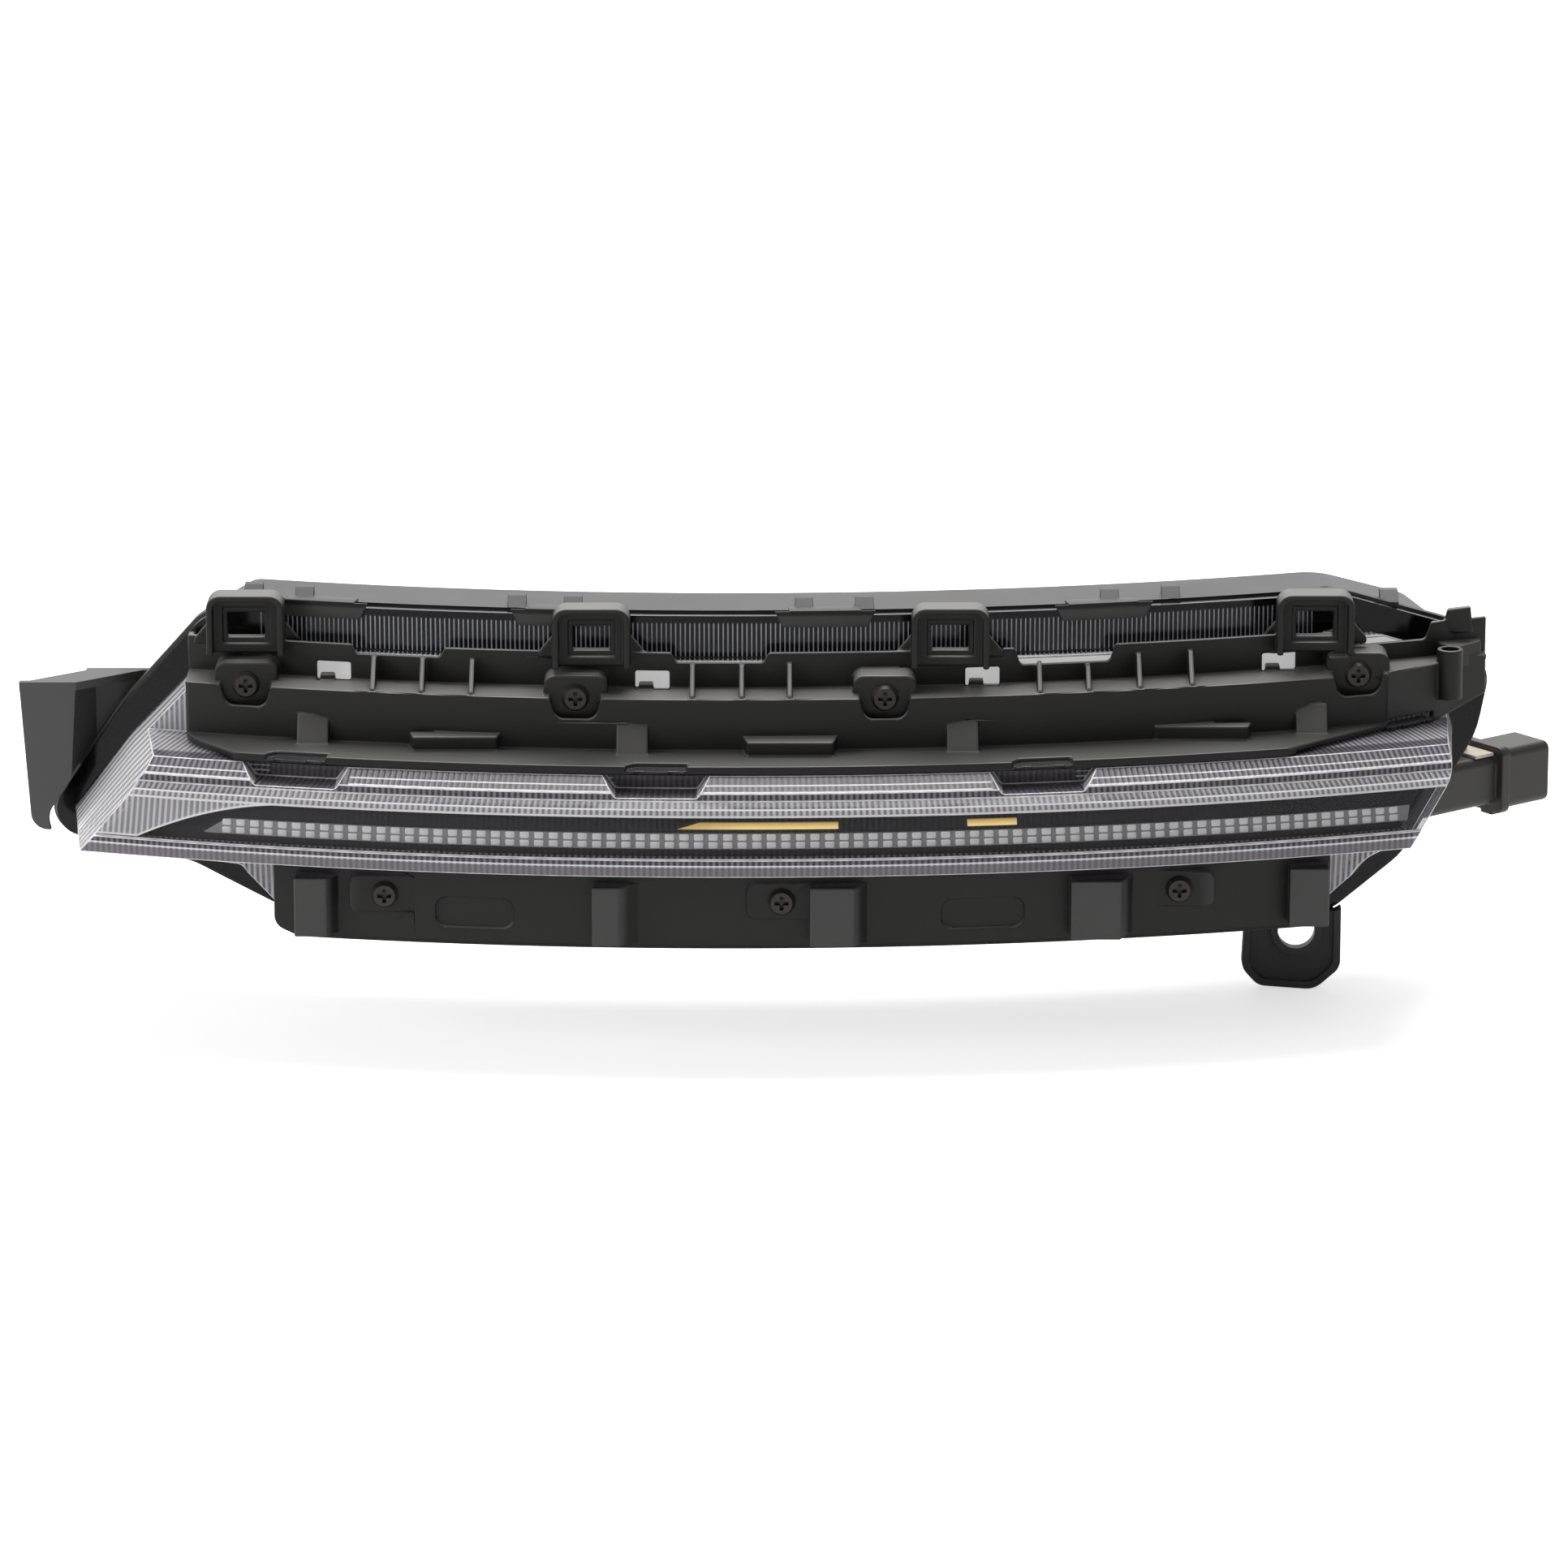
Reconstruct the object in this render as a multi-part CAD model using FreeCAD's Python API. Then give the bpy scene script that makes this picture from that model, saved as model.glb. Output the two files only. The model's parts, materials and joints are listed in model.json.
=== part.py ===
import FreeCAD, Part
import math
import os

V = FreeCAD.Vector

# Frame while modelling: X along the lamp, Y away from the viewer, Z up.
# X 0, Y 0, Z 0 is the lower front edge of the nose where the plan curve is nearest the viewer.
# Every depth is measured back from the nose, square to the plan curve.
PLAN_RADIUS = 750.0
SWEEP_LEFT = -300.0
SWEEP_RIGHT = 330.0
HOUSING_RIM_DEPTH = 70.0
HOUSING_BACK_DEPTH = 112.0

# Cutting bodies stand past the faces they cut, and added features are rooted in what carries them
REACH = 1.6 * HOUSING_BACK_DEPTH
PROUD = 1.0
ROOT = 1.0

# Outer lens: depths and heights of its steps, then its end outlines in front view
LENS_WALL = 2.6
CROWN_STANDOFF = 4.0
CROWN_STEP = 3.0
MIDDLE_STEP = 11.0
UNDERSIDE_STEP = 2.0
CROWN_DEPTH = HOUSING_RIM_DEPTH - CROWN_STANDOFF
UPPER_WALL_DEPTH = CROWN_DEPTH - CROWN_STEP
MIDDLE_WALL_DEPTH = UPPER_WALL_DEPTH - MIDDLE_STEP
NOSE_TOP_DEPTH = 18.0
NOSE_FRONT_DEPTH = 0.6
LOWER_WALL_DEPTH = 28.0
CROWN_BOTTOM = 61.5
UPPER_WALL_TOP = 59.5
MIDDLE_TOP = 46.0
RIDGE_TOP = 31.0
NOSE_STEPS = [(10.8, 26.6), (10.4, 24.0), (6.6, 22.0), (5.0, 19.9), (1.2, 6.6)]
UNDERSIDE = [(26.0, -2.5), (LOWER_WALL_DEPTH, -24.0), (CROWN_DEPTH - UNDERSIDE_STEP, -33.0)]
LIP_HEIGHT = 6.0
LIP_PROUD = 1.4
LENS_FRONT_Y = 45.0
LENS_BACK_Y = 110.0
LENS_RUN_OUT = 50.0
LENS_FRONT_OUTLINE = [(-170, 74, 8), (205, 74, 20), (236, 60, 12), (246, 36, 6), (250, 25, 12),
                      (233, -3.5, 4), (214, -8, 8), (203, -31, 8), (-152, -30, 8), (-168, -8, 6),
                      (-229, -4, 3), (-206, 23, 20), (-183, 50, 10)]
LENS_BACK_OUTLINE = [(-168, 68, 8), (203, 68, 20), (240, 55, 12), (250, 38, 8), (255, 21, 12),
                     (241, -5, 8), (231, -18, 8), (206, -31, 8), (-158, -26, 8), (-184, -13, 6),
                     (-235, -6.5, 4), (-212, 26, 20), (-185, 56, 10)]
FLANGE_THICK = 3.2
FLANGE_INSET = 0.8
POCKET_WIDTH = 28.0
POCKET_FLARE = 5.0
POCKET_FLOOR = 25.0
POCKET_DEPTH = 24.0
POCKET_CORNER = 2.0

# Seal between lens flange and housing rim
SEAL_WIDTH = 3.0
SEAL_HEIGHT = 1.6
SEAL_INSET = 1.4

# Rear housing
HOUSING_WALL = 2.5
HOUSING_OUTLINE = [(-174, 76.5, 10), (212, 76.5, 40), (255, 61, 16), (268, 40, 12), (264, 20, 30),
                   (237, -22, 20), (212, -40, 10), (-160, -34, 10), (-190, -20.5, 20), (-247, -12.5, 9),
                   (-215, 35.5, 60), (-187, 68, 14)]
HOUSING_FRONT_Y = 100.0
HOUSING_BACK_Y = 160.0
HOUSING_BACK_OUTLINE = [(-154, 76.5, 10), (200, 76.5, 40), (241, 61, 16), (254, 40, 12), (250, 20, 30),
                        (226, -22, 20), (205, -40, 10), (-150, -34, 10), (-176, -20.5, 20), (-229, -12.5, 9),
                        (-195, 35.5, 60), (-167, 68, 14)]
ROOF_TOP = 76.5
ROOF_FLAT = 3.2
ROOF_SLOPE_TOP = 100.0
BACK_TOP = 60.0
BACK_BOTTOM = -22.0
FLOOR_SLOPE_BOTTOM = -58.0
BACK_CORNER = 6.0
RIM_WIDTH = 8.0
RIM_THICK = 3.0
ROOF_CLIP_XS = [-167, -149, -74.5, -55, 25, 46, 131.5, 153]
ROOF_END_CLIP = (231.0, 69.6)
ROOF_CLIP_WIDTH = 6.4
ROOF_CLIP_RISE = 3.2
ROOF_CLIP_DEPTH = 9.0
ROOF_CLIP_RAMP = 5.4
ROOF_CLIP_ROOT = 1.5
BACK_RIB_XS = [-170, -110, -50, 70, 130, 190]
BACK_RIB_THICK = 2.4
BACK_RIB_PROUD = 6.0
BACK_RIB_BOTTOM = -14.0
BACK_RIB_TOP = 52.0
BACK_RIB_TAPER = 8.0
LEVEL_RIB_Z = 18.0
LEVEL_RIB_LEFT = -190.0
LEVEL_RIB_RIGHT = 225.0
BACK_BOSS_XS = [-150, 20, 170]
BACK_BOSS_RADIUS = 5.0
BACK_BOSS_RISE = 4.0
BACK_BOSS_Z = 11.0

# Lower outboard lug: its edge is given from the centre of its hole
LUG_X = 199.3
LUG_Z = -46.4
LUG_FRONT_Y = 96.0
LUG_THICK = 5.0
LUG_HOLE_RADIUS = 6.5
LUG_BORDER = 2.5
LUG_FIELD_DEPTH = 1.8
LUG_EDGE = [(-18.3, 8.4), (-19.3, -13.6, 7), (-13.3, -20.1, 6), (6.7, -21.6, 8),
            (15.7, -13.6, 6), (15.7, 14.4)]
LUG_WEB_X = 12.0
LUG_WEB_LENGTH = 22.0
LUG_WEB_BOTTOM = -15.6
LUG_WEB_TOE = 12.4
LUG_WEB_TOP = 18.4

# Inboard bracket arm
BRACKET_WALL = 3.0
BRACKET_LEFT = -250.0
BRACKET_WIDTH = 20.0
BRACKET_BOTTOM = -9.0
BRACKET_TOP = 44.5
BRACKET_FRONT_Y = 95.0
BRACKET_BACK_Y = 116.0
BRACKET_SHIFT = 26.0
BRACKET_TAPER = 3.5
BRACKET_CORNER = 6.0
BRACKET_SIDE_RISE = 8.0
BRACKET_FOOT_OVERHANG = 4.0
BRACKET_FOOT_WIDTH = 26.0
BRACKET_FOOT_RISE = 13.0

# Upper trim carrier: its steps stand off the steps of the lens
TRIM_WALL = 2.2
TRIM_LEFT = -189.5
TRIM_RIGHT = 265.0
RISER_STANDOFF = 6.0
RISER_RISE = 18.5
LEDGE_RISE = 6.2
LOWER_RISER_STANDOFF = 12.0
SHELF_RISE = 3.2
RISER_DEPTH = UPPER_WALL_DEPTH - RISER_STANDOFF
RISER_TOP = MIDDLE_TOP + RISER_RISE
LEDGE_Z = MIDDLE_TOP + LEDGE_RISE
LOWER_RISER_DEPTH = MIDDLE_WALL_DEPTH - LOWER_RISER_STANDOFF
SHELF_Z = RIDGE_TOP + SHELF_RISE
TRIM_PLAN_BACK = 140.0
TRIM_PLAN_FRONT = [(TRIM_LEFT, 62, 26), (-150, 12, 30), (158, 12, 40)]
END_WEB_CLEARANCE = 0.6

# Hooded latch windows on the upper trim
TOWER_XS = [-168.5, -48.2, 75.5, 203.0]
TOWER_ZS = [60.5, 60.5, 60.0, 58.5]
TOWER_WIDTH = 26.8
TOWER_HEIGHT = 21.6
TOWER_CORNER = 5.0
TOWER_STANDOFF = 10.0
TOWER_SINK = 0.6
TOWER_FRONT_DEPTH = RISER_DEPTH - TOWER_STANDOFF
TOWER_BACK_DEPTH = RISER_DEPTH + TOWER_SINK
TOWER_RIM = 2.2
TOWER_RECESS_CORNER = 3.0
TOWER_RECESS_WALL = 5.0
TOWER_STEP_INSET = 5.4
TOWER_STEP_RISE = 3.4
TOWER_STEP_WALL = 3.0
WINDOW_WIDTH = 13.0
WINDOW_HEIGHT = 8.8
WINDOW_RISE = 5.2
TOWER_WEB_REACH = 5.0
TOWER_WEB_BOTTOM = 2.0
TOWER_WEB_SIDE = 4.0
TOWER_WEB_TOP = 10.0

# Screw pads of the upper trim: heights are given from the screw axis
UPPER_SCREW_XS = [-168.2, -53.6, 52.9, 218.0]
UPPER_SCREW_DROP = 0.9
PAD_SETBACK = 5.0
UPPER_SCREW_Z = LEDGE_Z - UPPER_SCREW_DROP
PAD_DEPTH = LOWER_RISER_DEPTH + PAD_SETBACK
PAD_THICK = 3.5
PAD_WIDTH = 22.0
PAD_TOP = 7.7
PAD_SHOULDER = -2.3
PAD_BOTTOM = -8.3
PAD_TAPER = 3.0
PAD_CORNER = 4.0
HOOD_BOTTOM = -0.3
HOOD_SINK = 0.4
NOTCH_WIDTH = 16.5
NOTCH_FLARE = 2.5
NOTCH_TAPER = 1.5
NOTCH_TOP = 6.9
NOTCH_SHOULDER = -1.3
NOTCH_BOTTOM = -6.5
NOTCH_RUN = 12.0
NOTCH_CORNER = 4.0
LENS_BOSS_CLEARANCE = 1.5

# Ribs, blocks, ramps, cut-outs and latches of the upper trim
GUSSET_XS = [-123.8, -106.8, -89.6, -13.4, 3.6, 20.1, 106.4, 123.3, 141.1, 159.3]
GUSSET_THICK = 1.8
GUSSET_RISE = 9.0
GUSSET_TOE = 0.8
GUSSET_CREST = 3.5
SHELF_BLOCK_XS = [(-111, -79), (4, 36.5), (145, 180)]
SHELF_BLOCK_SETBACK = 13.0
SHELF_BLOCK_DEPTH = NOSE_TOP_DEPTH + SHELF_BLOCK_SETBACK
SHELF_BLOCK_RISE = 5.0
SHELF_BLOCK_TAPER = 1.5
RAMP_XS = [-144.5, -34.0, 79.6, 201.2]
RAMP_WIDTH = 11.0
RAMP_RUN = 7.0
RAMP_RISE = 9.5
RISER_CUTOUTS = [(-130, -101, 61.2), (-19, 11, 61.0), (100, 131, 58.5), (221, 243, 58.5)]
CUTOUT_FLARE = 2.5
CUTOUT_CORNER = 2.0
SMALL_WINDOW_XS = [-138, -27.3, 86.8, 190.6]
SMALL_WINDOW_WIDTH = 11.8
SMALL_WINDOW_HEIGHT = 5.8
SMALL_WINDOW_SILL = 0.6
TAB_SIDE = 1.2
TAB_WIDTH = 5.0
TAB_HEIGHT = 2.4
TAB_PROUD = 2.5
SNAP_XS = [-149.5, -25.5, 106.8]
END_SNAP_X = 237.0
SNAP_WIDTH = 21.0
SNAP_DEPTH = 5.0
SNAP_DROP = 1.6
SNAP_CHAMFER = 3.0
SNAP_CLEARANCE = 0.5
SNAP_NOSE = 1.2
HOOK_SLOT_INNER = 4.4
HOOK_SLOT_OUTER = 7.0
HOOK_SLOT_DEPTH = 1.5

# Outboard end of the upper trim
END_WALL_NEAR = 25.5
END_WALL_FAR = 53.5
END_WALL_START = (228.0, MIDDLE_WALL_DEPTH + END_WALL_NEAR)
END_WALL_END = (TRIM_RIGHT, MIDDLE_WALL_DEPTH + END_WALL_FAR)
END_WALL_BEND_X = 247.0
END_WALL_RISE = 0.6
END_WALL_TIP_RISE = 6.5
END_BOSS_X = 251.2
END_BOSS_SETBACK = 42.0
END_BOSS_Y = MIDDLE_WALL_DEPTH + END_BOSS_SETBACK
END_BOSS_RADIUS = 4.6
END_BOSS_RISE = 4.8
END_BOSS_TOP = LEDGE_Z + END_BOSS_RISE
END_BOSS_LENGTH = 18.0
END_HOLE_RADIUS = 3.0
END_HOLE_LENGTH = 16.0
END_BLOCK_EDGE = [(2.0, 1.0), (12.0, 11.5), (10.0, 21.5), (-6.0, 12.0)]
END_POST_EDGE = [(-2.2, 3.0), (-0.2, 11.5), (7.8, 12.5), (8.8, 3.0)]
END_POST_THICK = 3.0

# Lower trim carrier
LOWER_WALL = 2.4
LOWER_FACE_DEPTH = 14.0
LOWER_LEFT = -157.5
LOWER_RIGHT = 207.0
LOWER_TOP = -3.6
LOWER_BOTTOM = -29.6
LOWER_RETURN = 9.0
LOWER_CHAMFER = 1.4
LOWER_END_RISE = 4.0
LOWER_END_RUN = 12.0
LOWER_END_CORNER = 5.0
LOWER_BLOCKS = [(-150, -139, 7), (-47.5, -38.5, 9), (27, 42, 5.5), (116.5, 133.5, 5), (192.5, 206, 0.5)]
LOWER_BLOCK_DEPTH = 8.0
LOWER_BLOCK_TOP = -6.2
LOWER_BLOCK_BOTTOM = -27.0
LOWER_SCREW_XS = [-118.9, 17.3, 154.1]
LOWER_SCREW_Z = -12.0
LOWER_PAD_WIDTH = 24.0
LOWER_PAD_HEIGHT = 12.6
LOWER_PAD_PROUD = 1.6
LOWER_PAD_BACK = 3.0
LOWER_PAD_CORNER = 3.0
LOWER_POCKETS = [(-101.4, -74.5), (72.1, 100.6)]
LOWER_POCKET_TOP = -12.6
LOWER_POCKET_BOTTOM = -23.2
LOWER_POCKET_DEPTH = 1.3
LOWER_POCKET_CORNER = 4.0

# Screws
HEAD_RADIUS = 4.8
HEAD_TOP_RADIUS = 3.7
HEAD_RISE = 2.4
RECESS_LENGTH = 4.8
RECESS_WIDTH = 1.3
RECESS_DEPTH = 1.5
SHANK_RADIUS = 2.0
LENS_BOSS_RADIUS = 4.6
UPPER_SHANK = 13.0
LOWER_SHANK = 11.0
MODULE_SHANK = 11.5

# Light module behind the nose
BEZEL_LOW = (5.2, 4.2)
BEZEL_HIGH = (8.5, 18.4)
BEZEL_THICK = 1.8
BEZEL_RETURN = 3.0
BEZEL_RETURN_RISE = 1.4
BEZEL_RETURN_THICK = 2.2
BEZEL_OUTLINE = [(-213.5, 3.4, 2), (-190, 14.6, 20), (-178, 19.5, 8), (-150, 23), (240, 23),
                 (229, 2.6), (0, 2.6)]
STRIP_BOTTOM = 8.5
STRIP_TOP = 13.7
STRIP_FRONT = 5.8
STRIP_LEAN = 0.9
STRIP_THICK = 4.0
STRIP_GAP = 0.2
STRIP_OUTLINE = [(-181.5, 8.4, 1), (-172, 14.2, 2), (234.8, 20), (232.2, 0), (-172, 0, 2)]
AMBER_LONG = (-18.5, 37.0)
AMBER_SHORT = (81.5, 98.5)
AMBER_BOTTOM = 15.2
AMBER_HEIGHT = 2.2
AMBER_THICK = 1.0
BOX_WALL = 2.0
BOX_GAP = 0.8
BOX_DEPTH = 24.0
BOX_BOTTOM = 4.2
BOX_TOP = 21.8
BOX_LEFT = -205.0
BOX_RIGHT = 226.0
LEG_THICK = 3.0
LEG_SIDE = 6.5
LEG_BOTTOM = 6.0
LEG_TOP = 16.0
FOOT_THICK = 3.0
FOOT_LEFT = 5.0
FOOT_RIGHT = 8.0
FOOT_GAP = 0.1
BOARD_THICK = 1.6
BOARD_BOTTOM = 6.4
BOARD_TOP = 16.4
BOARD_MARGIN = 8.0
LED_COUNT = 16
LED_SIZE = 3.0
LED_HEIGHT = 1.2
LED_MARGIN = 20.0
SINK_BASE = 2.0
SINK_FIN = 1.4
SINK_FIN_LENGTH = 9.0
SINK_FIN_COUNT = 4
SINK_LEFT = -60.0
SINK_RIGHT = 100.0
SINK_GAP = 1.0
REFLECTOR_WALL = 1.5
REFLECTOR_GAP = 0.6
REFLECTOR_DROP = 1.5
REFLECTOR_RISE = 1.0
REFLECTOR_DEPTH = CROWN_DEPTH + REFLECTOR_GAP
REFLECTOR_TOP = UPPER_WALL_TOP - REFLECTOR_DROP
REFLECTOR_BOTTOM = MIDDLE_TOP + REFLECTOR_RISE
REFLECTOR_LEFT = -172.0
REFLECTOR_RIGHT = 240.0

# Electrical connector at the outboard end, drawn along X and then turned
PLUG_SETBACK = 26.0
PLUG_Y = HOUSING_BACK_DEPTH + PLUG_SETBACK
PLUG_DEPTH = 20.0
PLUG_BOTTOM = -14.0
PLUG_TOP = 8.0
PLUG_LEFT = 274.0
PLUG_RIGHT = 298.0
PLUG_WALL = 2.0
PLUG_FLOOR = 4.0
PLUG_CORNER = 3.0
PLUG_YAW = 38.0
NECK_LEFT = 236.0
NECK_INSET = 2.0
COLLAR_WIDTH = 4.0
COLLAR_PROUD = 1.2
LATCH_SIDE = 4.0
LATCH_WIDTH = 6.0
LATCH_LENGTH = 7.0
LATCH_DROP = 2.4
LEAD_PORT_RADIUS = 5.0
LEAD_PORT_LENGTH = 24.0
PIN_COUNT = 4
PIN_PITCH = 4.4
PIN_SIZE = 1.2
PIN_LENGTH = 12.0
CLIP_THICK = 1.2
CLIP_LENGTH = 8.8
CLIP_SIDE = 3.0
CLIP_WIDTH = 14.0
CLIP_TAB_SETBACK = 5.0
CLIP_TAB_LENGTH = 3.0
CLIP_TAB_WIDTH = 2.0
CLIP_TAB_RISE = 7.0
CLIP_GAP = 0.5

# Breathers on the back
BREATHER_XS = [-130, 150]
BREATHER_Z = 40.0
BREATHER_RADIUS = 8.0
BREATHER_HEIGHT = 6.0
BREATHER_STEM_RADIUS = 4.0
BREATHER_STEM = 5.0
BREATHER_SEAT = 3.0
BREATHER_SEAT_MARGIN = 1.0

FRONT = V(0, -1, 0)
BACK = V(0, 1, 0)
RIGHT = V(1, 0, 0)
UP = V(0, 0, 1)
AXIS = V(0, PLAN_RADIUS, 0)
MOUNT_ORIGIN = V(LUG_X, LUG_FRONT_Y, LUG_Z)
FLANGE_BACK_DEPTH = HOUSING_RIM_DEPTH - SEAL_HEIGHT
HOUSING_INNER_DEPTH = HOUSING_BACK_DEPTH - HOUSING_WALL


def arc_y(x, depth):
    """Y of the plan curve that lies depth behind the nose, at one x."""
    return PLAN_RADIUS - math.sqrt((PLAN_RADIUS - depth) ** 2 - x * x)


def rounded(points, lift):
    """Closed wire through (a, b) or (a, b, radius) corners; lift puts a corner in space."""
    flat = [V(p[0], p[1], 0) for p in points]
    radii = [p[2] if len(p) > 2 else 0 for p in points]
    turns = []
    for i, corner in enumerate(flat):
        back = (flat[i - 1] - corner).normalize()
        ahead = (flat[(i + 1) % len(flat)] - corner).normalize()
        half = back.getAngle(ahead) / 2
        run = radii[i] / math.tan(half)
        middle = corner + (back + ahead).normalize() * (radii[i] / math.sin(half) - radii[i])
        turns.append((corner + back * run, middle, corner + ahead * run))
    edges = []
    for i, (start, middle, end) in enumerate(turns):
        if radii[i]:
            edges.append(Part.Arc(lift(start), lift(middle), lift(end)).toShape())
        following = turns[(i + 1) % len(turns)][0]
        edges.append(Part.makeLine(lift(end), lift(following)))
    return Part.Wire(edges)


def moved_corner(before, here, after, distance):
    """One corner of a path moved to the right of its travel by a distance."""
    arriving = (here - before).normalize()
    leaving = (after - here).normalize()
    bisector = V(arriving.y + leaving.y, -arriving.x - leaving.x, 0)
    return here + bisector * (2 * distance / bisector.Length ** 2)


def inset(points, distance):
    """The same closed outline moved in by a distance, corner by corner; outlines run clockwise."""
    flat = [V(p[0], p[1], 0) for p in points]
    moved = []
    for i, point in enumerate(points):
        corner = moved_corner(flat[i - 1], flat[i], flat[(i + 1) % len(flat)], distance)
        moved.append((corner.x, corner.y) + tuple(point[2:]))
    return moved


def beside(path, distance):
    """An open path moved to the right of its travel by a distance."""
    flat = [V(p[0], p[1], 0) for p in path]
    flat = [flat[0] * 2 - flat[1]] + flat + [flat[-1] * 2 - flat[-2]]
    corners = [moved_corner(flat[i - 1], flat[i], flat[i + 1], distance) for i in range(1, len(flat) - 1)]
    return [(corner.x, corner.y) for corner in corners]


def sharp(points):
    """The same outline without its corner radii."""
    return [(p[0], p[1]) for p in points]


def swept(section, x_from=SWEEP_LEFT, x_to=SWEEP_RIGHT):
    """Solid from a (depth, z) section carried along the plan curve."""
    face = Part.Face(rounded(section, lambda p: V(0, p.x, p.y)))
    start = math.degrees(math.asin(x_from / PLAN_RADIUS))
    end = math.degrees(math.asin(x_to / PLAN_RADIUS))
    face.rotate(AXIS, UP, start)
    return face.revolve(AXIS, UP, end - start)


def curved_band(depth_from, depth_to, z_from=-REACH, z_to=REACH, x_from=SWEEP_LEFT, x_to=SWEEP_RIGHT):
    """Curved bar between two depths and two heights."""
    section = [(depth_from, z_from), (depth_from, z_to), (depth_to, z_to), (depth_to, z_from)]
    return swept(section, x_from, x_to)


def slab(outline, y_from=-REACH, y_to=REACH):
    """Prism along Y of an (x, z) outline."""
    face = Part.Face(rounded(outline, lambda p: V(p.x, y_from, p.y)))
    return face.extrude(BACK * (y_to - y_from))


def plate(outline, z_from, z_to):
    """Prism along Z of an (x, y) outline."""
    face = Part.Face(rounded(outline, lambda p: V(p.x, p.y, z_from)))
    return face.extrude(UP * (z_to - z_from))


def cheek(outline, x, thickness):
    """Flat web square to X from a (y, z) outline, centred on x."""
    face = Part.Face(rounded(outline, lambda p: V(x - thickness / 2, p.x, p.y)))
    return face.extrude(RIGHT * thickness)


def box(x_from, x_to, y_from, y_to, z_from, z_to):
    return Part.makeBox(x_to - x_from, y_to - y_from, z_to - z_from, V(x_from, y_from, z_from))


def rod(x, y, z, radius, length, direction=BACK):
    return Part.makeCylinder(radius, length, V(x, y, z), direction)


def frame_outline(x_from, x_to, z_from, z_to, radius=0):
    return [(x_from, z_to, radius), (x_to, z_to, radius), (x_to, z_from, radius), (x_from, z_from, radius)]


def drafted(front, back, front_y, back_y):
    """Prism along Y whose outline changes evenly from front to back."""
    def outline_at(y):
        share = (y - front_y) / (back_y - front_y)
        return [(a[0] + (b[0] - a[0]) * share, a[1] + (b[1] - a[1]) * share) + tuple(a[2:])
                for a, b in zip(front, back)]
    y_from = front_y - LENS_RUN_OUT
    y_to = back_y + LENS_RUN_OUT
    near = rounded(outline_at(y_from), lambda p: V(p.x, y_from, p.y))
    far = rounded(outline_at(y_to), lambda p: V(p.x, y_to, p.y))
    return Part.makeLoft([near, far], True, True)


def lens_prism():
    return drafted(LENS_FRONT_OUTLINE, LENS_BACK_OUTLINE, LENS_FRONT_Y, LENS_BACK_Y)


def lens_hollow_prism():
    front = sharp(inset(LENS_FRONT_OUTLINE, LENS_WALL))
    back = sharp(inset(LENS_BACK_OUTLINE, LENS_WALL))
    return drafted(front, back, LENS_FRONT_Y, LENS_BACK_Y)


def lens_steps():
    """Section of the lens from its crown down over the nose to its underside."""
    crown = [(CROWN_DEPTH, ROOF_SLOPE_TOP), (CROWN_DEPTH, CROWN_BOTTOM), (UPPER_WALL_DEPTH, UPPER_WALL_TOP)]
    middle = [(UPPER_WALL_DEPTH, MIDDLE_TOP), (MIDDLE_WALL_DEPTH, MIDDLE_TOP), (MIDDLE_WALL_DEPTH, RIDGE_TOP)]
    nose = [(NOSE_TOP_DEPTH, RIDGE_TOP)] + NOSE_STEPS + [(NOSE_FRONT_DEPTH, 0)]
    return crown + middle + nose + UNDERSIDE + [(CROWN_DEPTH, FLOOR_SLOPE_BOTTOM)]


def behind(path):
    """Solid that fills everything behind a section path."""
    far = HOUSING_BACK_DEPTH
    return swept(path + [(far, path[-1][1]), (far, path[0][1])])


def rim_ring(depth_from, depth_to, outer_inset, inner_inset):
    """Ring that follows the housing outline, between two depths."""
    outer = slab(inset(HOUSING_OUTLINE, outer_inset))
    inner = slab(inset(HOUSING_OUTLINE, inner_inset))
    return curved_band(depth_from, depth_to).common(outer).cut(inner)


def upper_seats():
    """Axis point of each upper trim screw on its pad, the pad's thickness and the lens wall behind it."""
    return [(x, arc_y(x, PAD_DEPTH), UPPER_SCREW_Z, PAD_THICK, UPPER_WALL_DEPTH) for x in UPPER_SCREW_XS]


def lower_seats():
    """The same for the lower trim screws."""
    depth = LOWER_FACE_DEPTH - LOWER_PAD_PROUD
    thick = LOWER_PAD_PROUD + LOWER_WALL + LOWER_PAD_BACK
    return [(x, arc_y(x, depth), LOWER_SCREW_Z, thick, LOWER_WALL_DEPTH) for x in LOWER_SCREW_XS]


def latch_pocket(x, margin):
    """Flared pocket in the ridge of the nose, under one latch of the upper trim."""
    half = POCKET_WIDTH / 2 + margin
    floor = POCKET_FLOOR - margin
    top = RIDGE_TOP + PROUD
    outline = [(x - half - POCKET_FLARE, top), (x + half + POCKET_FLARE, top),
               (x + half, floor, POCKET_CORNER), (x - half, floor, POCKET_CORNER)]
    return slab(outline).common(curved_band(0, POCKET_DEPTH + margin))


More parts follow.
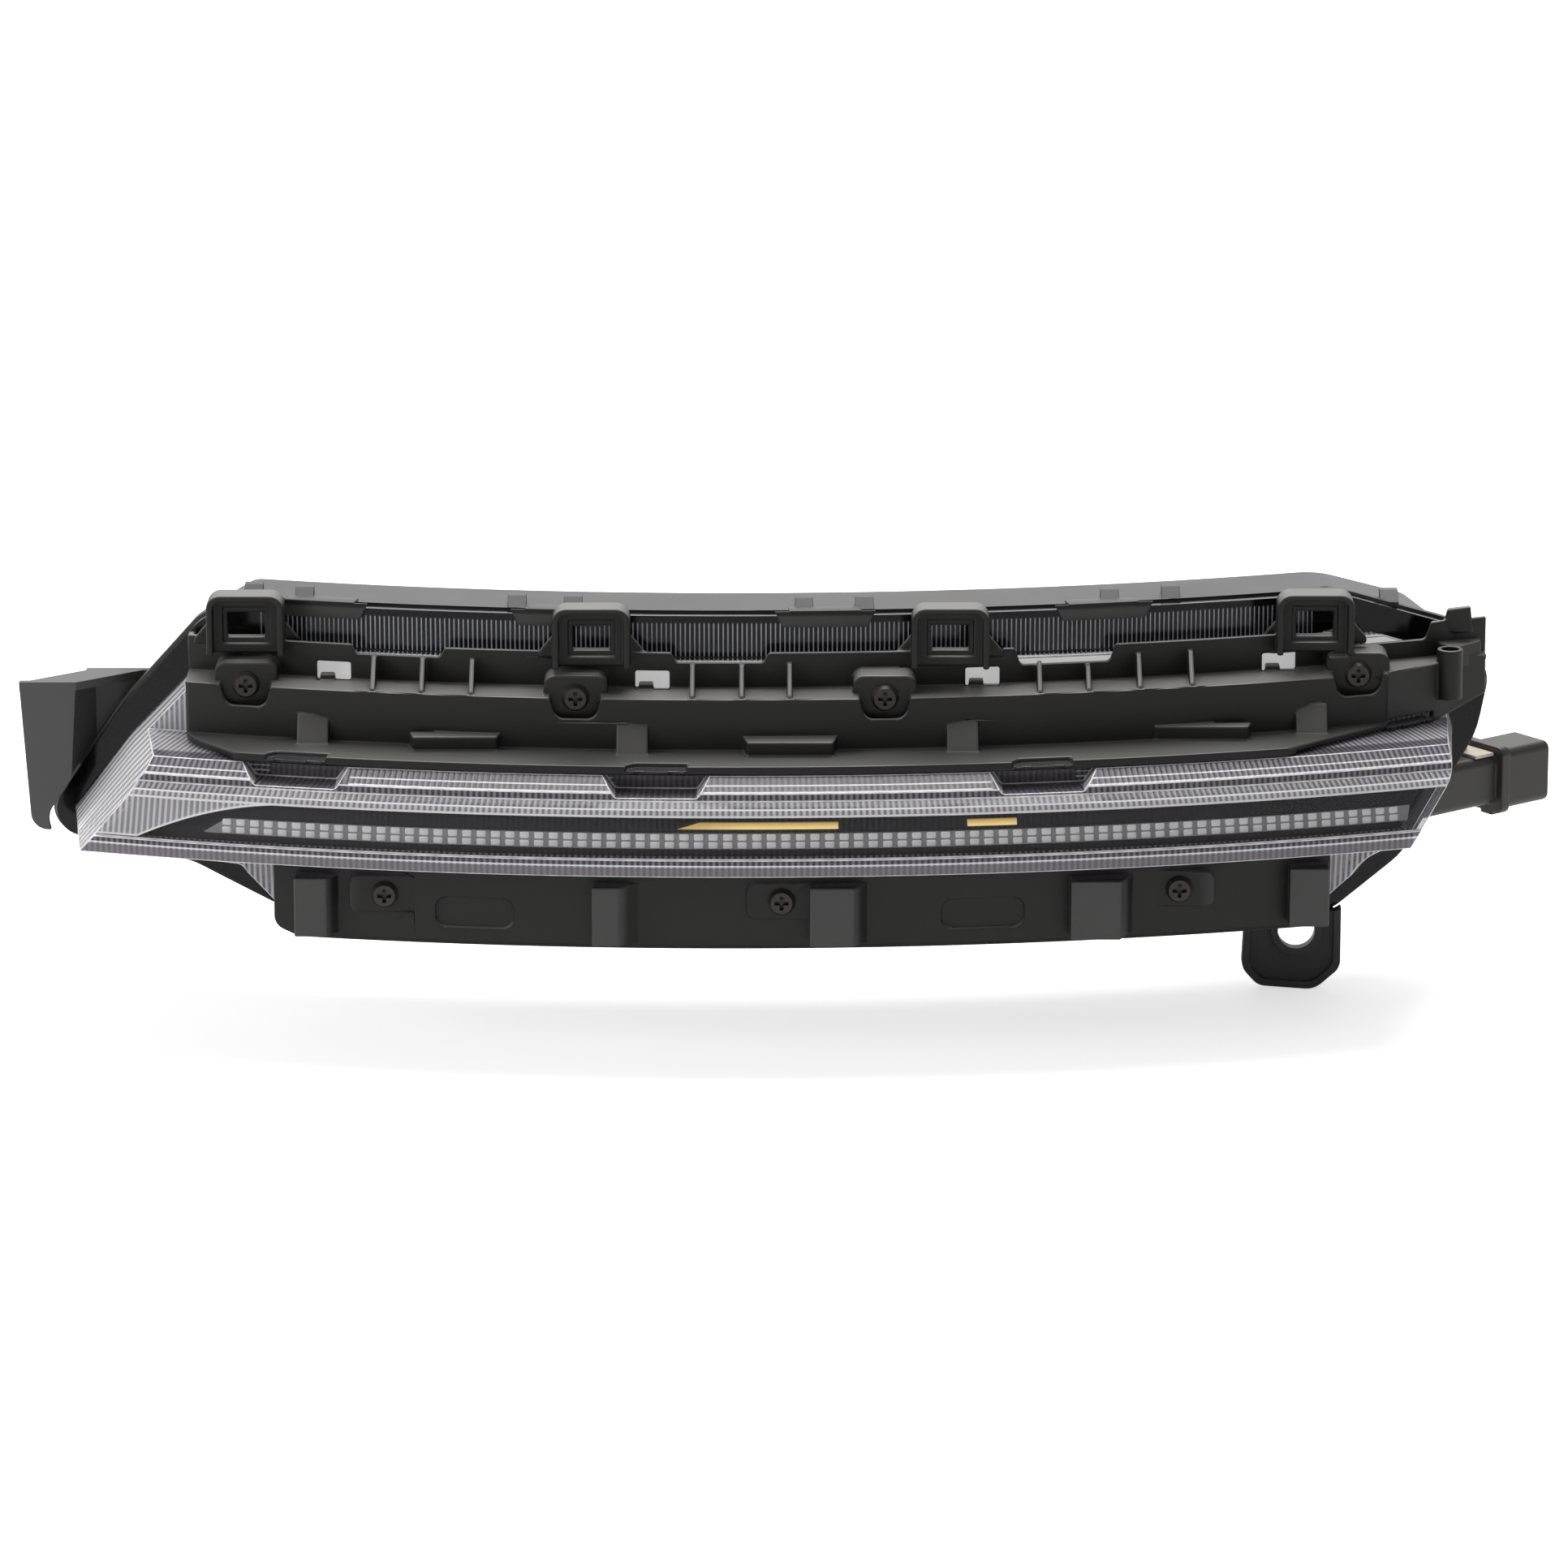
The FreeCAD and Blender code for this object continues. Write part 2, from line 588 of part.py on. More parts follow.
def outer_lens():
    outside = lens_prism()
    body = behind(lens_steps()).common(outside).common(curved_band(-PROUD, FLANGE_BACK_DEPTH))
    cavity = behind(beside(lens_steps(), -LENS_WALL)).common(lens_hollow_prism())
    flange_band = curved_band(FLANGE_BACK_DEPTH - FLANGE_THICK, FLANGE_BACK_DEPTH)
    flange = flange_band.common(slab(inset(HOUSING_OUTLINE, FLANGE_INSET)))
    lip = curved_band(0, LIP_PROUD, 0, LIP_HEIGHT).common(outside)
    bosses = []
    bores = []
    for x, y, z, thick, wall_depth in upper_seats() + lower_seats():
        length = arc_y(x, wall_depth) + ROOT - y - thick
        bosses.append(rod(x, y + thick, z, LENS_BOSS_RADIUS, length))
        bores.append(rod(x, y + thick - PROUD, z, SHANK_RADIUS, length))
    pans = [latch_pocket(x, LENS_WALL).common(body) for x in SNAP_XS]
    pockets = [latch_pocket(x, 0) for x in SNAP_XS]
    shell = body.fuse([flange, lip]).cut(cavity)
    return shell.fuse(bosses + pans).cut(bores + pockets).removeSplitter()


def lens_seal():
    return rim_ring(FLANGE_BACK_DEPTH, HOUSING_RIM_DEPTH, SEAL_INSET, SEAL_INSET + SEAL_WIDTH)


def housing_path():
    """Section of the housing over the roof, down the back and forward under the floor."""
    rim = HOUSING_RIM_DEPTH
    return [(rim, ROOF_SLOPE_TOP), (rim + ROOF_FLAT, ROOF_SLOPE_TOP), (HOUSING_BACK_DEPTH, BACK_TOP),
            (HOUSING_BACK_DEPTH, BACK_BOTTOM), (rim, FLOOR_SLOPE_BOTTOM)]


def housing_prism(margin):
    """Prism inside the housing outline whose ends draw in towards the back, moved in by a margin."""
    front = inset(HOUSING_OUTLINE, margin)
    back = inset(HOUSING_BACK_OUTLINE, margin)
    return drafted(front, back, HOUSING_FRONT_Y, HOUSING_BACK_Y).common(slab(front))


def housing_block():
    """The housing's outer shape as one solid."""
    path = housing_path()
    section = path[:2] + [corner + (BACK_CORNER,) for corner in path[2:4]] + path[4:]
    return swept(section).common(housing_prism(0))


def lens_zone(depth):
    """Everything inside the housing outline in front of one depth."""
    return curved_band(0, depth).common(slab(HOUSING_OUTLINE))


def housing_shell():
    path = beside(housing_path(), HOUSING_WALL)
    ahead = HOUSING_RIM_DEPTH - PROUD
    inside = swept([(ahead, path[0][1])] + path[1:] + [(ahead, path[-1][1])])
    cavity = inside.common(housing_prism(HOUSING_WALL))
    rim = rim_ring(HOUSING_RIM_DEPTH, HOUSING_RIM_DEPTH + RIM_THICK, 0, RIM_WIDTH)
    return housing_block().cut(cavity).fuse(rim)


def roof_clips():
    """Wedge catches along the roof edge, ramped up from the front."""
    clips = []
    for x, roof in [(x, ROOF_TOP) for x in ROOF_CLIP_XS] + [ROOF_END_CLIP]:
        front = arc_y(x, HOUSING_RIM_DEPTH)
        back = front + ROOF_CLIP_DEPTH
        base = roof - ROOF_CLIP_ROOT
        top = roof + ROOF_CLIP_RISE
        outline = [(front, base), (front, roof), (front + ROOF_CLIP_RAMP, top), (back, top), (back, base)]
        clips.append(cheek(outline, x, ROOF_CLIP_WIDTH))
    return clips


def back_ribs():
    """Stiffening ribs on the back wall, one level rib and a row of upright ones."""
    reach = HOUSING_BACK_DEPTH + BACK_RIB_PROUD
    start = HOUSING_BACK_DEPTH - ROOT
    level_top = LEVEL_RIB_Z + BACK_RIB_THICK
    ribs = [curved_band(start, reach, LEVEL_RIB_Z, level_top, LEVEL_RIB_LEFT, LEVEL_RIB_RIGHT)]
    for x in BACK_RIB_XS:
        near = arc_y(x, start)
        far = arc_y(x, reach)
        outline = [(near, BACK_RIB_BOTTOM), (near, BACK_RIB_TOP), (far, BACK_RIB_TOP - BACK_RIB_TAPER),
                   (far, BACK_RIB_BOTTOM + BACK_RIB_TAPER)]
        ribs.append(cheek(outline, x, BACK_RIB_THICK))
    return ribs


def lug_hole():
    return rod(LUG_X, LUG_FRONT_Y - PROUD, LUG_Z, LUG_HOLE_RADIUS, LUG_THICK + 2 * PROUD)


def lug():
    """Flat eye below the outboard end, with a raised border round a recessed field and a web behind."""
    back = LUG_FRONT_Y + LUG_THICK
    edge = [(LUG_X + p[0], LUG_Z + p[1]) + tuple(p[2:]) for p in LUG_EDGE]
    eye = slab(edge, LUG_FRONT_Y, back)
    field = slab(inset(edge, -LUG_BORDER), LUG_FRONT_Y - PROUD, LUG_FRONT_Y + LUG_FIELD_DEPTH)
    collar = rod(LUG_X, LUG_FRONT_Y, LUG_Z, LUG_HOLE_RADIUS + LUG_BORDER, LUG_THICK)
    web_outline = [(back - ROOT, LUG_Z + LUG_WEB_BOTTOM), (back + LUG_WEB_LENGTH, LUG_Z + LUG_WEB_TOE),
                   (back + LUG_WEB_LENGTH, LUG_Z + LUG_WEB_TOP), (back - ROOT, LUG_Z + LUG_WEB_TOP)]
    web = cheek(web_outline, LUG_X + LUG_WEB_X, HOUSING_WALL)
    return eye.cut(field).fuse([collar, web])


def inboard_bracket():
    """Channel-shaped arm beside the inboard end: front plate, top plate, side wall and foot."""
    left = BRACKET_LEFT
    right = BRACKET_LEFT + BRACKET_WIDTH
    wall = BRACKET_WALL
    front_y = BRACKET_FRONT_Y
    back_y = BRACKET_BACK_Y
    front_outline = [(left, BRACKET_TOP), (right, BRACKET_TOP),
                     (right - BRACKET_TAPER, BRACKET_BOTTOM, BRACKET_CORNER),
                     (left + BRACKET_TAPER, BRACKET_BOTTOM, BRACKET_CORNER)]
    front = slab(front_outline, front_y, front_y + wall)
    top_plan = [(left, front_y), (left + BRACKET_SHIFT, back_y),
                (right + BRACKET_SHIFT, back_y), (right, front_y)]
    top = plate(top_plan, BRACKET_TOP - wall, BRACKET_TOP)
    side_plan = [(left, front_y), (left + BRACKET_SHIFT, back_y),
                 (left + BRACKET_SHIFT + wall, back_y), (left + wall, front_y)]
    side = plate(side_plan, BRACKET_BOTTOM + BRACKET_SIDE_RISE, BRACKET_TOP)
    far = right + BRACKET_SHIFT
    lean = [(left, BRACKET_TOP), (far, BRACKET_TOP), (far, BRACKET_BOTTOM),
            (left + BRACKET_TAPER, BRACKET_BOTTOM)]
    side = side.common(slab(lean))
    foot_left = left + BRACKET_SHIFT - BRACKET_FOOT_OVERHANG
    foot = box(foot_left, foot_left + BRACKET_FOOT_WIDTH, back_y - wall, back_y,
               BRACKET_BOTTOM + BRACKET_FOOT_RISE, BRACKET_TOP)
    return [front, top, side, foot]


def module_bore(x):
    """Hole for one module screw, through the housing's back and the tray's foot."""
    return rod(x, arc_y(x, HOUSING_BACK_DEPTH) - MODULE_SHANK, BACK_BOSS_Z, SHANK_RADIUS, 2 * MODULE_SHANK)


def rear_housing():
    outer_pieces = roof_clips() + back_ribs() + [lug()] + inboard_bracket()
    holes = [lug_hole()] + [module_bore(x) for x in BACK_BOSS_XS]
    for x in BACK_BOSS_XS:
        y = arc_y(x, HOUSING_BACK_DEPTH) - HOUSING_WALL
        outer_pieces.append(rod(x, y, BACK_BOSS_Z, BACK_BOSS_RADIUS, BACK_BOSS_RISE + HOUSING_WALL))
    for x in BREATHER_XS:
        y = arc_y(x, HOUSING_BACK_DEPTH)
        seat_radius = BREATHER_RADIUS + BREATHER_SEAT_MARGIN
        outer_pieces.append(rod(x, y - HOUSING_WALL, BREATHER_Z, seat_radius, BREATHER_SEAT + HOUSING_WALL))
        holes.append(rod(x, y - BREATHER_RADIUS, BREATHER_Z, BREATHER_STEM_RADIUS, 2 * BREATHER_RADIUS))
    port = rod(NECK_LEFT - LEAD_PORT_LENGTH, PLUG_Y + PLUG_DEPTH / 2, (PLUG_BOTTOM + PLUG_TOP) / 2,
               LEAD_PORT_RADIUS, LEAD_PORT_LENGTH + ROOT, RIGHT)
    inside = [housing_block(), lens_zone(HOUSING_RIM_DEPTH)]
    body = housing_shell().fuse([piece.cut(inside) for piece in outer_pieces])
    return body.cut(holes + [turned(port)]).removeSplitter()


def trim_steps():
    """Section of the upper trim from the top of its riser down to its front edge."""
    return [(RISER_DEPTH, RISER_TOP), (RISER_DEPTH, LEDGE_Z), (LOWER_RISER_DEPTH, LEDGE_Z),
            (LOWER_RISER_DEPTH, SHELF_Z), (NOSE_TOP_DEPTH, SHELF_Z), (NOSE_TOP_DEPTH, RIDGE_TOP)]


def trim_plan(margin):
    """Prism that bounds the upper trim in plan, moved in by a margin."""
    front = TRIM_PLAN_FRONT + [END_WALL_START, END_WALL_END]
    outline = [(TRIM_LEFT, TRIM_PLAN_BACK)] + front + [(TRIM_RIGHT, TRIM_PLAN_BACK)]
    return plate(inset(outline, -margin), 0, REACH)


def trim_shell():
    steps = trim_steps()
    return swept(steps + list(reversed(beside(steps, -TRIM_WALL)))).common(trim_plan(0))


def inboard_web():
    """Wall that closes the inboard end of the upper trim, clear of the steps of the lens."""
    upper = UPPER_WALL_DEPTH
    middle = MIDDLE_WALL_DEPTH
    lens_faces = [(upper, RISER_TOP), (upper, MIDDLE_TOP), (middle, MIDDLE_TOP), (middle, RIDGE_TOP),
                  (NOSE_TOP_DEPTH, RIDGE_TOP)]
    section = trim_steps()[:-1] + list(reversed(beside(lens_faces, END_WEB_CLEARANCE)))
    return swept(section, SWEEP_LEFT, 0).common(trim_plan(0)).cut(trim_plan(TRIM_WALL))


def tower(x, base):
    """Hooded window frame that stands on the upper riser; returns its body and its hollow."""
    half = TOWER_WIDTH / 2
    front = arc_y(x, TOWER_FRONT_DEPTH)
    back = arc_y(x, TOWER_BACK_DEPTH)
    top = base + TOWER_HEIGHT
    body_outline = [(x - half, top, TOWER_CORNER), (x + half, top, TOWER_CORNER),
                    (x + half, base), (x - half, base)]
    body = slab(body_outline, front, back)
    reach = half + TOWER_WEB_REACH
    web_outline = [(x - reach, base + TOWER_WEB_BOTTOM), (x - reach, base + TOWER_WEB_SIDE),
                   (x - half, base + TOWER_WEB_TOP), (x + half, base + TOWER_WEB_TOP),
                   (x + reach, base + TOWER_WEB_SIDE), (x + reach, base + TOWER_WEB_BOTTOM)]
    riser_y = arc_y(x, RISER_DEPTH)
    web = slab(web_outline, riser_y, riser_y + TRIM_WALL)
    recess_half = half - TOWER_RIM
    recess_top = top - TOWER_RIM
    recess_outline = [(x - recess_half, recess_top, TOWER_RECESS_CORNER),
                      (x + recess_half, recess_top, TOWER_RECESS_CORNER),
                      (x + recess_half, base - PROUD), (x - recess_half, base - PROUD)]
    recess = slab(recess_outline, front - PROUD, back - TOWER_RECESS_WALL)
    step_half = half - TOWER_STEP_INSET
    step_outline = frame_outline(x - step_half, x + step_half, base + TOWER_STEP_RISE, top - TOWER_STEP_INSET)
    step = slab(step_outline, front, back - TOWER_STEP_WALL)
    low = base + WINDOW_RISE
    window_outline = frame_outline(x - WINDOW_WIDTH / 2, x + WINDOW_WIDTH / 2, low, low + WINDOW_HEIGHT)
    window = slab(window_outline, front, riser_y + TRIM_WALL + PROUD)
    return [body, web], [recess, step, window]


def screw_boss(x):
    """Pad for one trim screw, with its hood, its slot through the lower riser and its clearance hole."""
    y = arc_y(x, PAD_DEPTH)
    z = UPPER_SCREW_Z
    half = PAD_WIDTH / 2
    corners = [(x - half, z + PAD_TOP, PAD_CORNER), (x + half, z + PAD_TOP, PAD_CORNER)]
    low = half - PAD_TAPER
    pad_outline = corners + [(x + half, z + PAD_SHOULDER), (x + low, z + PAD_BOTTOM, PAD_CORNER),
                             (x - low, z + PAD_BOTTOM, PAD_CORNER), (x - half, z + PAD_SHOULDER)]
    pad = slab(pad_outline, y, y + PAD_THICK)
    hood_outline = corners + [(x + half, z + HOOD_BOTTOM), (x - half, z + HOOD_BOTTOM)]
    hood = slab(hood_outline, y, arc_y(x, RISER_DEPTH) + HOOD_SINK)
    space = LENS_BOSS_RADIUS + LENS_BOSS_CLEARANCE
    hollow = box(x - space, x + space, y + PAD_THICK, y + REACH, z + PAD_BOTTOM, z + PAD_TOP - TRIM_WALL)
    slot = NOTCH_WIDTH / 2
    notch_outline = [(x - slot - NOTCH_FLARE, z + NOTCH_TOP), (x + slot + NOTCH_FLARE, z + NOTCH_TOP),
                     (x + slot, z + NOTCH_SHOULDER), (x + slot - NOTCH_TAPER, z + NOTCH_BOTTOM, NOTCH_CORNER),
                     (x - slot + NOTCH_TAPER, z + NOTCH_BOTTOM, NOTCH_CORNER), (x - slot, z + NOTCH_SHOULDER)]
    notch = slab(notch_outline, y - NOTCH_RUN, y)
    hole = rod(x, y - PROUD, z, SHANK_RADIUS, PAD_THICK + 2 * PROUD)
    return [pad, hood], [notch, hole, hollow]


def gusset(x):
    """Triangular rib between the ledge and the upper riser."""
    front = arc_y(x, LOWER_RISER_DEPTH) + ROOT
    back = arc_y(x, RISER_DEPTH) + ROOT
    crest = LEDGE_Z + GUSSET_RISE
    outline = [(front, LEDGE_Z - ROOT), (front, LEDGE_Z + GUSSET_TOE), (back - GUSSET_CREST, crest),
               (back, crest), (back, LEDGE_Z - ROOT)]
    return cheek(outline, x, GUSSET_THICK)


def shelf_block(x_from, x_to):
    """Raised block on the shelf, against the lower riser."""
    front = max(arc_y(x_from, SHELF_BLOCK_DEPTH), arc_y(x_to, SHELF_BLOCK_DEPTH))
    back = arc_y((x_from + x_to) / 2, LOWER_RISER_DEPTH) + ROOT
    plan = [(x_from, back), (x_to, back), (x_to - SHELF_BLOCK_TAPER, front),
            (x_from + SHELF_BLOCK_TAPER, front)]
    return plate(plan, SHELF_Z - ROOT, SHELF_Z + SHELF_BLOCK_RISE)


def ramp(x):
    """Sloping block from the shelf up the lower riser."""
    riser = arc_y(x, LOWER_RISER_DEPTH)
    low = SHELF_Z - ROOT
    crest = SHELF_Z + RAMP_RISE
    outline = [(riser - RAMP_RUN, low), (riser - RAMP_RUN, SHELF_Z), (riser, crest), (riser + ROOT, crest),
               (riser + ROOT, low)]
    return cheek(outline, x, RAMP_WIDTH)


def riser_cutout(x_from, x_to, floor):
    """Shallow dip in the top edge of the upper riser."""
    y = arc_y((x_from + x_to) / 2, RISER_DEPTH)
    top = RISER_TOP + PROUD
    outline = [(x_from - CUTOUT_FLARE, top), (x_to + CUTOUT_FLARE, top), (x_to, floor, CUTOUT_CORNER),
               (x_from, floor, CUTOUT_CORNER)]
    return slab(outline, y - 2 * TRIM_WALL, y + 4 * TRIM_WALL)


def small_window(x):
    """Low window in the upper riser and the tab that stands in it."""
    y = arc_y(x, RISER_DEPTH)
    left = x - SMALL_WINDOW_WIDTH / 2
    right = x + SMALL_WINDOW_WIDTH / 2
    sill = LEDGE_Z - SMALL_WINDOW_SILL
    outline = frame_outline(left, right, sill, LEDGE_Z + SMALL_WINDOW_HEIGHT)
    opening = slab(outline, y - TAB_PROUD, y + 2 * TRIM_WALL)
    tab = box(left + TAB_SIDE, left + TAB_SIDE + TAB_WIDTH, y - TAB_PROUD, y + TRIM_WALL,
              LEDGE_Z - TRIM_WALL, sill + TAB_HEIGHT)
    return opening.cut(tab), tab


def snap_places():
    """Place and yaw of each latch: three along the curved front edge and one on the outboard end wall."""
    radius = PLAN_RADIUS - NOSE_TOP_DEPTH
    places = [(x, arc_y(x, NOSE_TOP_DEPTH), math.degrees(math.asin(x / radius))) for x in SNAP_XS]
    (start_x, start_y), (end_x, end_y) = END_WALL_START, END_WALL_END
    slope = (end_y - start_y) / (end_x - start_x)
    end_y = start_y + slope * (END_SNAP_X - start_x)
    return places + [(END_SNAP_X, end_y, math.degrees(math.atan(slope)))]


def snap(x, y, yaw):
    """Latch recess in the shelf edge and the forked tongue set lower inside it."""
    half = SNAP_WIDTH / 2
    deep = SNAP_DEPTH
    slot_plan = [(-half, -SNAP_WIDTH), (-half, deep - SNAP_CHAMFER), (-half + SNAP_CHAMFER, deep),
                 (half, deep), (half, -SNAP_WIDTH)]
    slot = plate(slot_plan, SHELF_Z - SNAP_DROP, SHELF_Z + PROUD)
    edge = half - SNAP_CLEARANCE
    nose = -SNAP_NOSE
    hook = HOOK_SLOT_DEPTH
    inner = HOOK_SLOT_INNER
    outer = HOOK_SLOT_OUTER
    tongue_plan = [(-edge, deep), (edge, deep), (edge, nose), (outer, nose), (outer, hook), (inner, hook),
                   (inner, nose), (-inner, nose), (-inner, hook), (-outer, hook), (-outer, nose),
                   (-edge, nose)]
    tongue = plate(tongue_plan, SHELF_Z - TRIM_WALL, SHELF_Z - SNAP_DROP)
    for shape in (slot, tongue):
        shape.rotate(V(0, 0, 0), UP, yaw)
        shape.translate(V(x, y, 0))
    return slot, tongue


def trim_end():
    """Outboard end of the upper trim: wall along the plan cut, boss with a blind hole, block and post."""
    start = V(*END_WALL_START, 0)
    end = V(*END_WALL_END, 0)
    along = (end - start).normalize()
    inward = V(-along.y, along.x, 0) * TRIM_WALL
    wall_plan = [(p.x, p.y) for p in (start, end, end + inward, start + inward)]
    low = RIDGE_TOP + END_WALL_RISE
    side = start.x - TRIM_WALL
    wall_outline = [(side, LEDGE_Z), (end.x, LEDGE_Z), (end.x, low + END_WALL_TIP_RISE),
                    (END_WALL_BEND_X, low), (side, low)]
    wall = plate(wall_plan, 0, REACH).common(slab(wall_outline))
    boss = rod(END_BOSS_X, END_BOSS_Y, END_BOSS_TOP - END_BOSS_LENGTH, END_BOSS_RADIUS, END_BOSS_LENGTH, UP)
    block_plan = [(END_BOSS_X + p[0], END_BOSS_Y + p[1]) for p in END_BLOCK_EDGE]
    block = plate(block_plan, LEDGE_Z - TRIM_WALL, END_BOSS_TOP)
    post_outline = [(END_BOSS_X + p[0], END_BOSS_TOP + p[1]) for p in END_POST_EDGE]
    post_y = arc_y(END_BOSS_X, RISER_DEPTH)
    post = slab(post_outline, post_y, post_y + END_POST_THICK)
    hole_floor = END_BOSS_TOP - END_HOLE_LENGTH
    hole = rod(END_BOSS_X, END_BOSS_Y, hole_floor, END_HOLE_RADIUS, END_HOLE_LENGTH + PROUD, UP)
    return [wall, boss, block, post], [hole]


def upper_trim_carrier():
    added = [gusset(x) for x in GUSSET_XS] + [shelf_block(*span) for span in SHELF_BLOCK_XS]
    added += [ramp(x) for x in RAMP_XS] + [inboard_web()]
    removed = [riser_cutout(*dip) for dip in RISER_CUTOUTS]
    openings = [small_window(x) for x in SMALL_WINDOW_XS] + [snap(*place) for place in snap_places()]
    for opening, tab in openings:
        removed.append(opening)
        added.append(tab)
    features = [tower(x, base) for x, base in zip(TOWER_XS, TOWER_ZS)]
    features += [screw_boss(x) for x in UPPER_SCREW_XS]
    features.append(trim_end())
    for body, hollow in features:
        added += body
        removed += hollow
    return trim_shell().fuse(added).cut(removed).removeSplitter()


def lower_trim_carrier():
    face = LOWER_FACE_DEPTH
    back = face + LOWER_RETURN
    floor = LOWER_BOTTOM + LOWER_WALL
    section = [(face, LOWER_TOP), (face, LOWER_BOTTOM + LOWER_CHAMFER), (face + LOWER_CHAMFER, LOWER_BOTTOM),
               (back, LOWER_BOTTOM), (back, floor), (face + LOWER_WALL, floor),
               (face + LOWER_WALL, LOWER_TOP)]
    below = LOWER_BOTTOM - PROUD
    outline = [(LOWER_LEFT, LOWER_TOP + PROUD), (LOWER_RIGHT, LOWER_TOP + PROUD), (LOWER_RIGHT, below),
               (LOWER_LEFT + LOWER_END_RUN, below, LOWER_END_CORNER),
               (LOWER_LEFT, LOWER_BOTTOM + LOWER_END_RISE, LOWER_END_CORNER)]
    shell = swept(section).common(slab(outline))
    added = [lower_block(*block) for block in LOWER_BLOCKS]
    removed = [lower_pocket(*span) for span in LOWER_POCKETS]
    for x, y, z, thick, wall_depth in lower_seats():
        half = LOWER_PAD_WIDTH / 2
        rise = LOWER_PAD_HEIGHT / 2
        pad = frame_outline(x - half, x + half, z - rise, z + rise, LOWER_PAD_CORNER)
        added.append(slab(pad, y, y + thick))
        removed.append(rod(x, y - PROUD, z, SHANK_RADIUS, thick + 2 * PROUD))
    return shell.fuse(added).cut(removed).removeSplitter()


def lower_block(x_from, x_to, flare):
    """Wedge block on the face of the lower trim, with one flared side."""
    front = min(arc_y(x_from, LOWER_BLOCK_DEPTH), arc_y(x_to, LOWER_BLOCK_DEPTH))
    back = max(arc_y(x_from, LOWER_FACE_DEPTH), arc_y(x_to + flare, LOWER_FACE_DEPTH)) + ROOT
    plan = [(x_from, back), (x_to + flare, back), (x_to, front), (x_from, front)]
    return plate(plan, LOWER_BLOCK_BOTTOM, LOWER_BLOCK_TOP)


def lower_pocket(x_from, x_to):
    """Shallow rounded recess in the face of the lower trim."""
    outline = frame_outline(x_from, x_to, LOWER_POCKET_BOTTOM, LOWER_POCKET_TOP, LOWER_POCKET_CORNER)
    return slab(outline).common(curved_band(0, LOWER_FACE_DEPTH + LOWER_POCKET_DEPTH))


def trim_screw(x, y, z, shank):
    """Pan-head screw with a cross recess, driven straight back."""
    head = Part.makeCone(HEAD_RADIUS, HEAD_TOP_RADIUS, HEAD_RISE, V(x, y, z), FRONT)
    top = y - HEAD_RISE
    recesses = []
    for across, tall in ((RECESS_LENGTH, RECESS_WIDTH), (RECESS_WIDTH, RECESS_LENGTH)):
        recesses.append(box(x - across / 2, x + across / 2, top - PROUD, top + RECESS_DEPTH,
                            z - tall / 2, z + tall / 2))
    return head.cut(recesses).fuse(rod(x, y, z, SHANK_RADIUS, shank)).removeSplitter()


def upper_trim_screws():
    return Part.makeCompound([trim_screw(x, y, z, UPPER_SHANK) for x, y, z, thick, wall in upper_seats()])


def lower_trim_screws():
    return Part.makeCompound([trim_screw(x, y, z, LOWER_SHANK) for x, y, z, thick, wall in lower_seats()])


def inner_bezel():
    (low_d, low_z), (high_d, high_z) = BEZEL_LOW, BEZEL_HIGH
    back = high_d + BEZEL_RETURN
    crest = high_z + BEZEL_RETURN_RISE
    section = [BEZEL_LOW, BEZEL_HIGH, (back, crest), (back, crest - BEZEL_RETURN_THICK),
               (high_d + BEZEL_THICK, high_z - BEZEL_THICK), (low_d + BEZEL_THICK, low_z)]
    slot = curved_band(0, BOX_DEPTH, STRIP_BOTTOM - STRIP_GAP, STRIP_TOP + STRIP_GAP)
    return swept(section).common(slab(BEZEL_OUTLINE)).cut(slot.common(slab(inset(STRIP_OUTLINE, -STRIP_GAP))))


def light_strip():
    back = STRIP_FRONT + STRIP_THICK
    bar = swept([(STRIP_FRONT, STRIP_BOTTOM), (STRIP_FRONT + STRIP_LEAN, STRIP_TOP), (back, STRIP_TOP),
                 (back, STRIP_BOTTOM)])
    return bar.common(slab(STRIP_OUTLINE))


def amber_reflector(x_from, x_to):
    """Gold strip that lies on the sloping face of the bezel, above the light strip."""
    slope = (BEZEL_HIGH[0] - BEZEL_LOW[0]) / (BEZEL_HIGH[1] - BEZEL_LOW[1])
    low = BEZEL_LOW[0] + slope * (AMBER_BOTTOM - BEZEL_LOW[1])
    high = low + slope * AMBER_HEIGHT
    top = AMBER_BOTTOM + AMBER_HEIGHT
    section = [(low, AMBER_BOTTOM), (high, top), (high - AMBER_THICK, top), (low - AMBER_THICK, AMBER_BOTTOM)]
    return swept(section, x_from, x_to)


def tray_leg(x):
    """Leg from the tray to the housing's back wall beside one module screw, and the foot on the screw."""
    leg_x = x + LEG_SIDE
    near = arc_y(leg_x, BOX_DEPTH) - BOX_WALL / 2
    far = min(arc_y(end, HOUSING_INNER_DEPTH) for end in (x - FOOT_LEFT, x + FOOT_RIGHT)) - FOOT_GAP
    leg = cheek([(near, LEG_BOTTOM), (near, LEG_TOP), (far, LEG_TOP), (far, LEG_BOTTOM)], leg_x, LEG_THICK)
    foot = box(x - FOOT_LEFT, x + FOOT_RIGHT, far - FOOT_THICK, far, LEG_BOTTOM, LEG_TOP)
    return [leg, foot]


